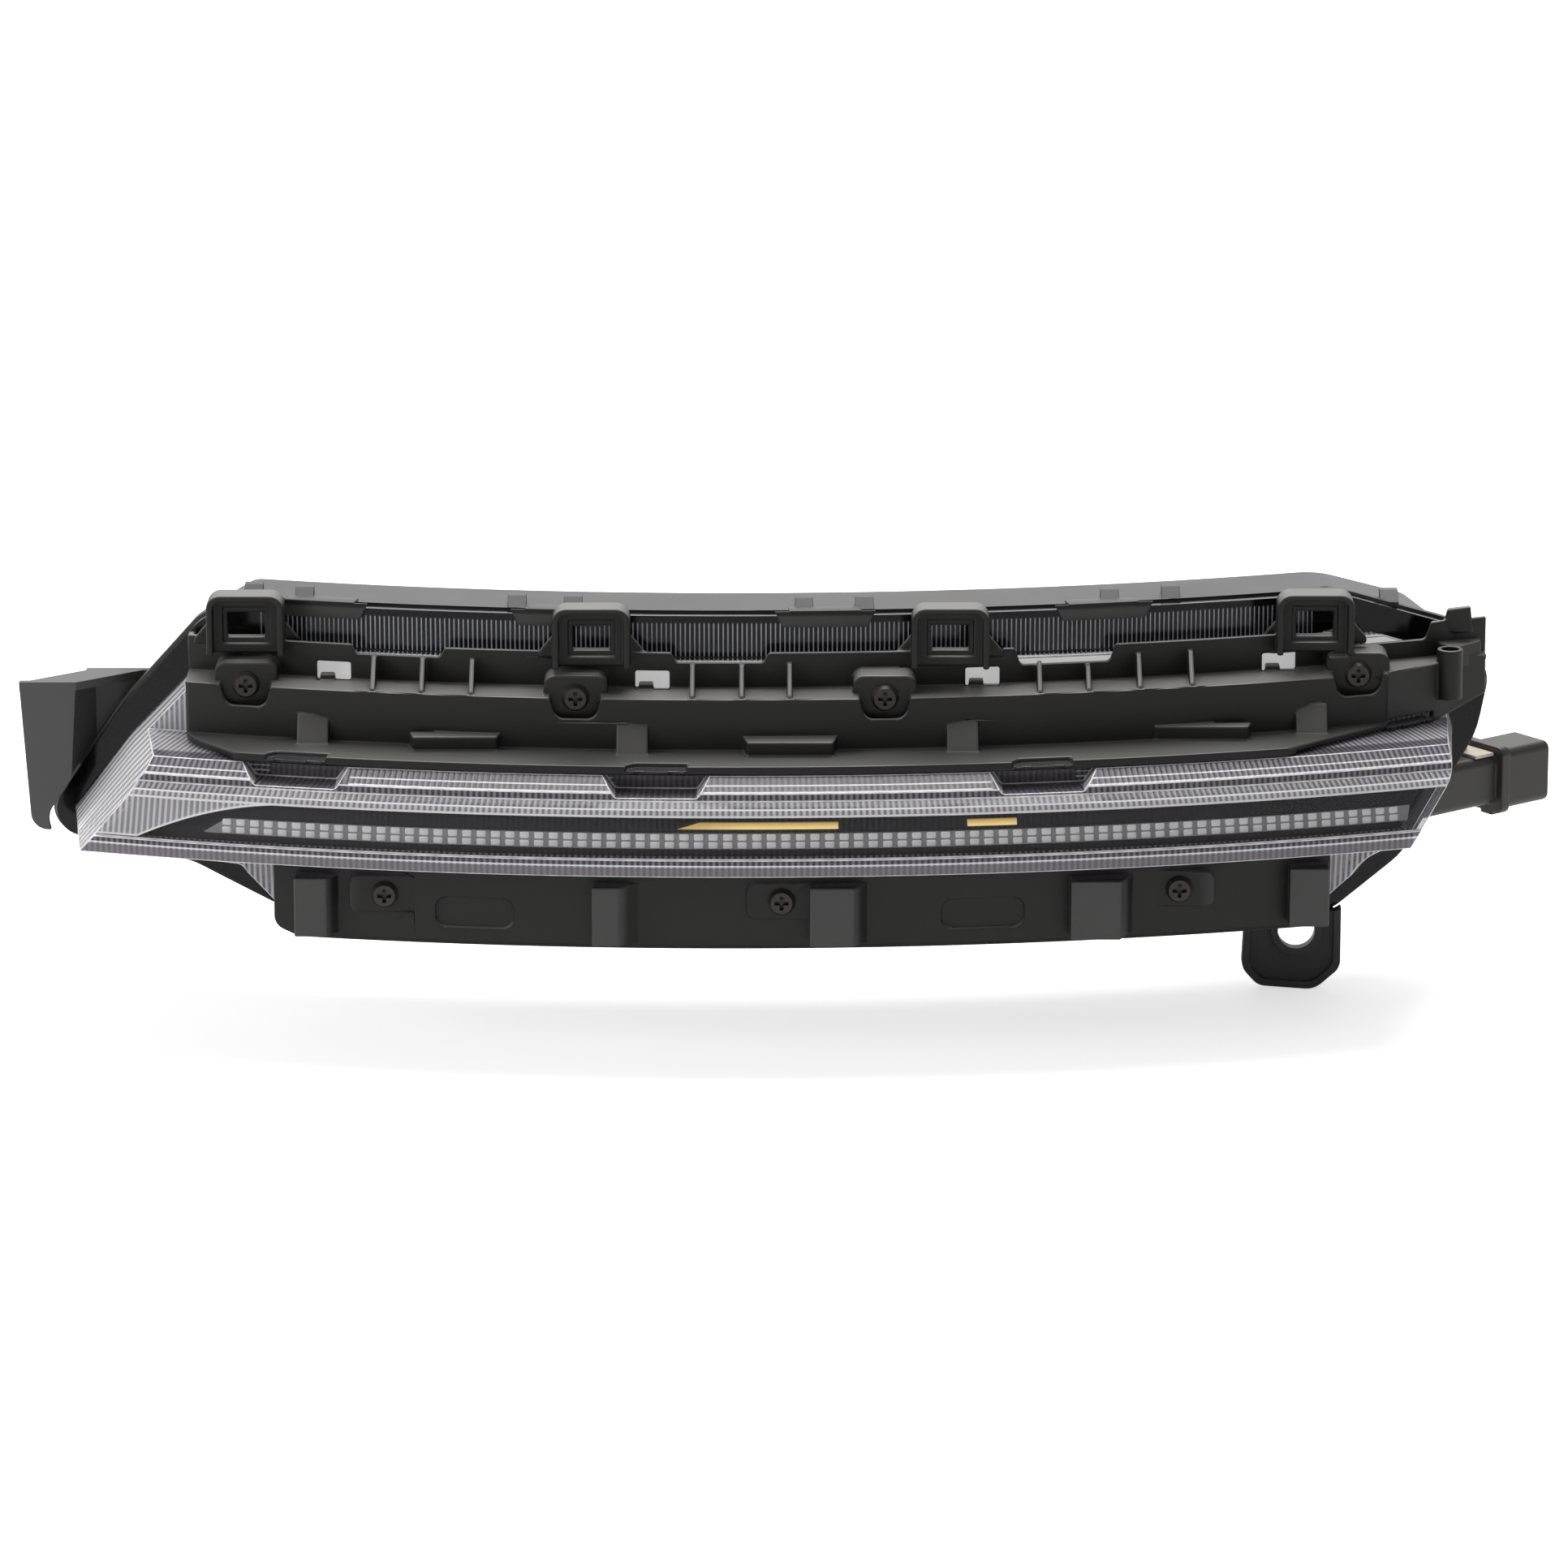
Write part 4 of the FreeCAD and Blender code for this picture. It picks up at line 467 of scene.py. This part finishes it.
def lay_window(lens):
    """Lays the window and the painted highlight line along its tip, and returns the window's mask."""
    tip = lens.along.ramp(TIP_STARTS, TIP_ENDS)
    below_top = WINDOW_TOP - TIP_DROP * tip * tip - lens.height
    front = lens.height.between(WINDOW_FOOT, WINDOW_TOP, 0.05 * MM) * lens.nose
    window = front * below_top.above(0.0, 0.05 * MM)
    lens.lay(window, cover=0.03)
    tip_highlight = front * below_top.between(-TIP_LINE, 0.0, 0.1 * MM) * tip.ramp(0.0, 0.02)
    lens.lay(tip_highlight, HIGHLIGHT_WHITE, 0.95)
    return window


def lay_rows(lens):
    for low, high, dip, crest, cover in NOSE_ROWS:
        row = lens.height.between(low * MM, high * MM, ROW_SOFT) * lens.nose
        lens.lay(row, lens.flute.choose(dip, crest), cover)
    for middle, half in NOSE_HIGHLIGHTS:
        line = lens.height.between((middle - half) * MM, (middle + half) * MM, ROW_SOFT) * lens.nose
        lens.lay(line, HIGHLIGHT_WHITE, 0.95)


print("rows:", len(NOSE_ROWS), "lines:", len(NOSE_HIGHLIGHTS))

# %% Latch pockets
LATCH_PLACES = [-149.5 * MM, -25.5 * MM, 106.8 * MM]
POCKET_HALF = 16 * MM
POCKET_FLOOR = 24.8 * MM
POCKET_TOP = 31.0 * MM
POCKET_DEPTHS = (9.5 * MM, 26 * MM)


def lay_pockets(lens):
    for latch in LATCH_PLACES:
        pocket = lens.along.between(latch - POCKET_HALF, latch + POCKET_HALF, 0.5 * MM)
        pocket = pocket * lens.height.above(POCKET_FLOOR, 0.1 * MM) * lens.height.below(POCKET_TOP, 0.2 * MM)
        pocket = pocket * lens.depth.between(*POCKET_DEPTHS, 0.2 * MM)
        # Painted shade: the pockets are painted dark.
        lens.lay(pocket, lens.flute.choose((0.1, 0.092, 0.11), (0.17, 0.16, 0.185)))


print("latch pockets:", len(LATCH_PLACES))

# %% [markdown]
# ### The walls behind the nose
# Behind the upper trim the lens has a step that is painted nearly white, painted light from the white panel
# that lies behind it. It shows through the trim's cut-outs, and a little emission, a painted glow, stands for
# the light that the panel throws back.
# The end walls have pale ribs, painted light in the skin's colour. The flange lies on the black rim of the
# housing and takes its colour, and the crown under the roof is dark with thin painted highlights along its
# flutes.

# %% The walls
WALL_PITCH = 1.8 * MM
END_PITCH = 5.5 * MM
STEP_HEIGHTS = (46.2 * MM, 60.0 * MM)
STEP_DEPTHS = (61.5 * MM, 64.5 * MM)
END_DEPTH = 64.6 * MM
FLANGE_DEPTH = 65.0 * MM
CROWN_HEIGHTS = (60.2 * MM, 73.0 * MM)
CROWN_REACH = (-182 * MM, 226 * MM)
WALL_SOFT = 0.3 * MM


def lay_step(lens):
    """Lays the step, painted nearly white as painted light, and returns its mask."""
    step = lens.height.between(*STEP_HEIGHTS, WALL_SOFT) * lens.depth.between(*STEP_DEPTHS, WALL_SOFT)
    lens.lay(step, lens.along.wave(WALL_PITCH).choose((0.78, 0.78, 0.79), grey(0.95)), 0.85)
    return step


def lay_ends(lens):
    sideways = facing(lens.place)[0]
    ends = sideways.math("ABSOLUTE", sideways).above(0.525, 0.075) * lens.depth.below(END_DEPTH, 0.2 * MM)
    rib = lens.depth.wave(END_PITCH)
    # Painted light: the ribs of the end walls are painted pale.
    lens.lay(ends, rib.choose((0.55, 0.54, 0.57), (1.0, 0.99, 1.0)), 0.55 + 0.35 * rib)


def lay_crown(lens):
    lens.lay(lens.depth.above(FLANGE_DEPTH, 0.1 * MM), (0.006, 0.006, 0.007), 0.92)
    # Painted highlights: thin bright lines along the crown's flutes, brighter towards its foot.
    thin = lens.along.wave(WALL_PITCH).ramp(0.7, 0.98)
    foot = 0.3 * lens.height.ramp(65 * MM, 62 * MM)
    crown = lens.height.between(*CROWN_HEIGHTS, WALL_SOFT) * lens.along.between(*CROWN_REACH, 1 * MM)
    lens.lay(crown, (thin * (0.8 + foot)).choose((0.008, 0.008, 0.01), (0.55, 0.55, 0.59)))


print("wall pitch in mm:", WALL_PITCH / MM, "end pitch in mm:", END_PITCH / MM)

# %% Put the lens together


def fluted_lens(name):
    material, shader, place = new_material(name)
    lens = LensLayers(place)
    window = lay_window(lens)
    lay_rows(lens)
    lay_pockets(lens)
    step = lay_step(lens)
    lay_ends(lens)
    lay_crown(lens)
    ripple = lens.flute * lens.nose * (1 - window)
    bump = ripple.node("ShaderNodeBump", {"Height": ripple, "Strength": 0.4, "Distance": 0.25 * MM})
    feed(shader, Base_Color=lens.colour, Normal=bump, Roughness=0.14, Specular_IOR_Level=0.25)
    # Painted glow: emission on the step stands for the light that the white panel throws back.
    feed(shader, Emission_Color=step.choose(grey(0.0), grey(1.0)), Emission_Strength=0.45)
    clear = place.node("ShaderNodeBsdfTransparent", {"Color": (0.98, 0.98, 0.985, 1)})
    skin = Wire(place.tree, shader.outputs["BSDF"])
    mixed = place.node("ShaderNodeMixShader", {0: lens.cover, 1: clear, 2: skin})
    feed(place.tree.nodes["Material Output"], Surface=mixed)
    finishes[name] = material
    return material


print("lens in", len(fluted_lens("lens_clear").node_tree.nodes), "nodes")

# %% [markdown]
# ### Edges of the lens
# Every edge of a clear moulding gathers light and shows as a bright line, so the edges get a painted
# highlight.
# Later the edges are rounded, and the rounded strips take this second material. On the flange the edges lie
# on black and stay dark.

# %% Edges of the lens
EDGE_STREAK = 9 * MM
DARK_EDGE_DEPTH = 63.75 * MM


def painted_edge_highlights(name):
    material, shader, place = new_material(name)
    along, depth, height = curve_place(place)
    # Painted highlight: pale streaks along the curve on the rounded edges, dark where they lie on the flange.
    streak = along.wave(EDGE_STREAK).choose((0.72, 0.71, 0.75), (0.92, 0.91, 0.94))
    colour = depth.above(DARK_EDGE_DEPTH, 0.25 * MM).choose(streak, (0.008, 0.008, 0.009))
    feed(shader, Base_Color=colour, Roughness=0.12)
    return material


lens_edge = painted_edge_highlights("lens_edge")
print("edge material:", lens_edge.name)

# %% [markdown]
# ## The light strip
# The frosted strip behind the nose carries two rows of small rounded cells. They could be painted on, but
# their rounded edges catch light of their own, so they are real: one block with soft edges, copied along the
# curve. With so many copies each has only a few dozen faces. The strip itself is the CAD piece.

# %% Soft blocks


def block(builder, size):
    """Adds a plain block round the origin and returns its corners."""
    verts = bmesh.ops.create_cube(builder, size=1.0)["verts"]
    bmesh.ops.scale(builder, verts=verts, vec=size)
    return verts


def place_soft(builder, verts, radius, matrix):
    """Softens the edges of a block and moves it to its place."""
    edges = list({edge for vert in verts for edge in vert.link_edges})
    made = bmesh.ops.bevel(
        builder, geom=edges, offset=radius, segments=2, profile=0.5, affect="EDGES", material=-1
    )
    verts = list({vert for face in made["faces"] for vert in face.verts})
    bmesh.ops.transform(builder, matrix=matrix, verts=verts)


def piece_from(builder, name, material):
    """Turns a mesh under construction into a piece that belongs to the lamp."""
    mesh = bpy.data.meshes.new(name)
    builder.to_mesh(mesh)
    builder.free()
    mesh.materials.append(material)
    for polygon in mesh.polygons:
        polygon.use_smooth = True
    piece = bpy.data.objects.new(name, mesh)
    bpy.context.collection.objects.link(piece)
    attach(piece, "root")
    return piece


print("block helpers ready")

# %% The light strip
CELL_PITCH = 5.0 * MM
CELL_SIZE = (3.3 * MM, 1.3 * MM, 2.25 * MM)
CELL_EDGE = 0.5 * MM
CELL_FIRST = -176 * MM
CELL_LAST = 239.5 * MM
# Depth and height of each row
CELL_ROWS = [(6.3 * MM, 9.75 * MM), (6.75 * MM, 12.4 * MM)]

moulded("strip_clear", grey(0.22), grey(0.3), (0.2, 0.3))
# The cells get a painted sheen on faces that look up and a faint painted glow from emission.
cell_frost = moulded("cell_frost", grey(0.55, 0.01), grey(0.68, 0.01), (0.16, 0.28), pale=grey(0.97))
feed(shader_of(cell_frost), Emission_Color=(1, 1, 1, 1), Emission_Strength=0.07)
builder = bmesh.new()
for row_depth, row_height in CELL_ROWS:
    for i in range(int((CELL_LAST - CELL_FIRST) / CELL_PITCH)):
        matrix = on_curve(CELL_FIRST + i * CELL_PITCH, row_depth, row_height)
        place_soft(builder, block(builder, CELL_SIZE), CELL_EDGE, matrix)
cells = piece_from(builder, "light_cells", cell_frost)
print("cells:", len(cells.data.polygons), "faces")

# %% [markdown]
# ## Plates at the roof hooks
# Each pair of hooks on the roof carries a thin plate that hangs over the rim. A drawn outline could be
# extruded, but a block is quicker: it becomes a plate with sloping ends when its two lower edges are drawn
# in, and a second block makes the tongue that joins it to the roof.

# %% Plates at the roof hooks
HOOK_PAIRS = [-158 * MM, -64.7 * MM, 35.5 * MM, 142.2 * MM]
PLATE_SIZE = (35 * MM, 0.9 * MM, 5.6 * MM)
PLATE_DEPTH = 64.5 * MM
PLATE_HEIGHT = 74.6 * MM
PLATE_TAPER = 0.84
PLATE_EDGE = 0.25 * MM
TONGUE_SIZE = (25 * MM, 7.0 * MM, 0.9 * MM)
TONGUE_BACK = 3.2 * MM
TONGUE_UP = 2.6 * MM

builder = bmesh.new()
for pair in HOOK_PAIRS:
    plate = block(builder, PLATE_SIZE)
    lower = [vert for vert in plate if vert.co.z < 0]
    bmesh.ops.scale(builder, verts=lower, vec=(PLATE_TAPER, 1, 1))
    place_soft(builder, plate, PLATE_EDGE, on_curve(pair, PLATE_DEPTH, PLATE_HEIGHT))
    tongue = block(builder, TONGUE_SIZE)
    tongue_matrix = on_curve(pair, PLATE_DEPTH + TONGUE_BACK, PLATE_HEIGHT + TONGUE_UP)
    place_soft(builder, tongue, PLATE_EDGE, tongue_matrix)
plates = piece_from(builder, "roof_plates", finishes["housing_black"])
print("plates:", len(HOOK_PAIRS), "with", len(plates.data.polygons), "faces")

# %% [markdown]
# ## Every CAD piece gets its finish
# The record names a material slot for each node. The finishes above carry the same names, so one loop
# dresses the whole lamp, and a list of pieces doesn't have to be kept here as well.

# %% Dress the CAD pieces
for row in frame["record"]["subparts"]:
    for material_slot in nodes[row["node"]].material_slots:
        material_slot.material = finishes[row["material_slot"]]
print("dressed:", len(nodes))

# %% [markdown]
# ## Soft edges
# No moulded edge is sharp. The CAD meshes stay as they are, so modifiers round the edges: Weld joins the
# loose triangles, Bevel rounds every edge that turns by more than a small angle, and Weighted Normal keeps
# the broad faces flat in the shading. The housing reaches to the sides of the CAD box, so its edges are
# rounded least. On the lens the rounded strips take the bright material.

# %% Soft edges
WELD_REACH = 0.002 * MM
SHARP_ANGLE = math.radians(28)
EDGE_WIDTHS = {
    "upper_trim_carrier": 0.65 * MM,
    "lower_trim_carrier": 0.5 * MM,
    "rear_housing": 0.15 * MM,
    "connector_shroud": 0.6 * MM,
    "connector_clip": 0.2 * MM,
    "outer_lens": 0.3 * MM,
}


def soften(piece, width):
    """Adds the three modifiers to a CAD piece and returns the bevel."""
    weld = piece.modifiers.new("weld", "WELD")
    weld.merge_threshold = WELD_REACH
    bevel = piece.modifiers.new("soft", "BEVEL")
    bevel.width = width
    bevel.segments = 2
    bevel.limit_method = "ANGLE"
    bevel.angle_limit = SHARP_ANGLE
    bevel.use_clamp_overlap = False
    bevel.loop_slide = False
    piece.modifiers.new("even", "WEIGHTED_NORMAL").keep_sharp = True
    return bevel


bevels = {name: soften(nodes[name], width) for name, width in EDGE_WIDTHS.items()}
# The rounded strips of the lens take the painted highlight material.
lens_materials = nodes["outer_lens"].data.materials
lens_materials.append(lens_edge)
bevels["outer_lens"].material = len(lens_materials) - 1
print("softened:", ", ".join(bevels))

# %% [markdown]
# ## Floor, light and camera
# The floor is pale and plain, and lies just under the lamp. It glows a little for the camera alone, so the
# ground is white while the shadow stays. A large soft panel stands behind the lamp and another hangs over
# it, so that level faces shine and upright ones stay dark. A third one at the left lights the end wall.

# %% Floor
FLOOR_SIZE = 12.0
FLOOR_GAP = 0.1 * MM
floor_z = cad_box[0][2]
builder = bmesh.new()
bmesh.ops.create_grid(builder, x_segments=1, y_segments=1, size=FLOOR_SIZE / 2)
bmesh.ops.translate(builder, verts=builder.verts, vec=(0, 0, floor_z - FLOOR_GAP))
floor_mesh = bpy.data.meshes.new("floor")
builder.to_mesh(floor_mesh)
builder.free()
floor = bpy.data.objects.new("floor", floor_mesh)
bpy.context.collection.objects.link(floor)
floor_material, floor_shader, floor_place = new_material("floor_white")
seen = floor_place.node("ShaderNodeLightPath", out="Is Camera Ray")
feed(floor_shader, Base_Color=(0.94, 0.94, 0.94, 1), Roughness=0.9, Specular_IOR_Level=0.0)
feed(floor_shader, Emission_Color=seen.choose(grey(0.0), grey(1.0)), Emission_Strength=0.6)
floor_mesh.materials.append(floor_material)
print("floor at", round(floor_z, 4))

# %% Light
# Name, place from the middle of the lamp, size and power of each panel
PANELS = [
    ("top_light", (0, 0.9, 2.0), 1.6, 52),
    ("back_light", (0, 2.6, 1.0), 2.4, 20),
    ("left_light", (-2.4, -0.9, 1.0), 1.2, 24),
]
middle = (Vector(cad_box[0]) + Vector(cad_box[1])) / 2


def soft_light(name, offset, size, power):
    """Square area light that looks at the middle of the lamp."""
    data = bpy.data.lights.new(name, "AREA")
    data.shape = "SQUARE"
    data.size = size
    data.energy = power
    light = bpy.data.objects.new(name, data)
    light.location = middle + Vector(offset)
    light.rotation_euler = (-Vector(offset)).to_track_quat("-Z", "Y").to_euler()
    bpy.context.collection.objects.link(light)


for panel in PANELS:
    soft_light(*panel)
print("panels:", len(PANELS))

# %% Backdrop
BACKDROP_LIGHT = 0.3
BACKDROP_SEEN = 1.0
world = bpy.data.worlds.new("studio")
bpy.context.scene.world = world
world.use_nodes = True
backdrop = world.node_tree.nodes["Background"]
path = world.node_tree.nodes.new("ShaderNodeLightPath")
seen = Wire(world.node_tree, path.outputs["Is Camera Ray"])
feed(backdrop, Color=(1, 1, 1, 1), Strength=seen.fade(BACKDROP_LIGHT, BACKDROP_SEEN))
print("backdrop:", world.name)

# %% Camera
CAMERA_PLACE = (-0.18115, -2.6074, 0.7524)
CAMERA_TILT = math.radians(75)
camera_data = bpy.data.cameras.new("camera")
camera_data.sensor_width = 36
camera_data.lens = 176.2
camera = bpy.data.objects.new("camera", camera_data)
camera.location = CAMERA_PLACE
camera.rotation_euler = (CAMERA_TILT, 0, 0)
bpy.context.collection.objects.link(camera)
bpy.context.scene.camera = camera
bpy.context.scene.view_settings.view_transform = "Standard"
print("camera at", CAMERA_PLACE)

# %% The end
print("scene built")
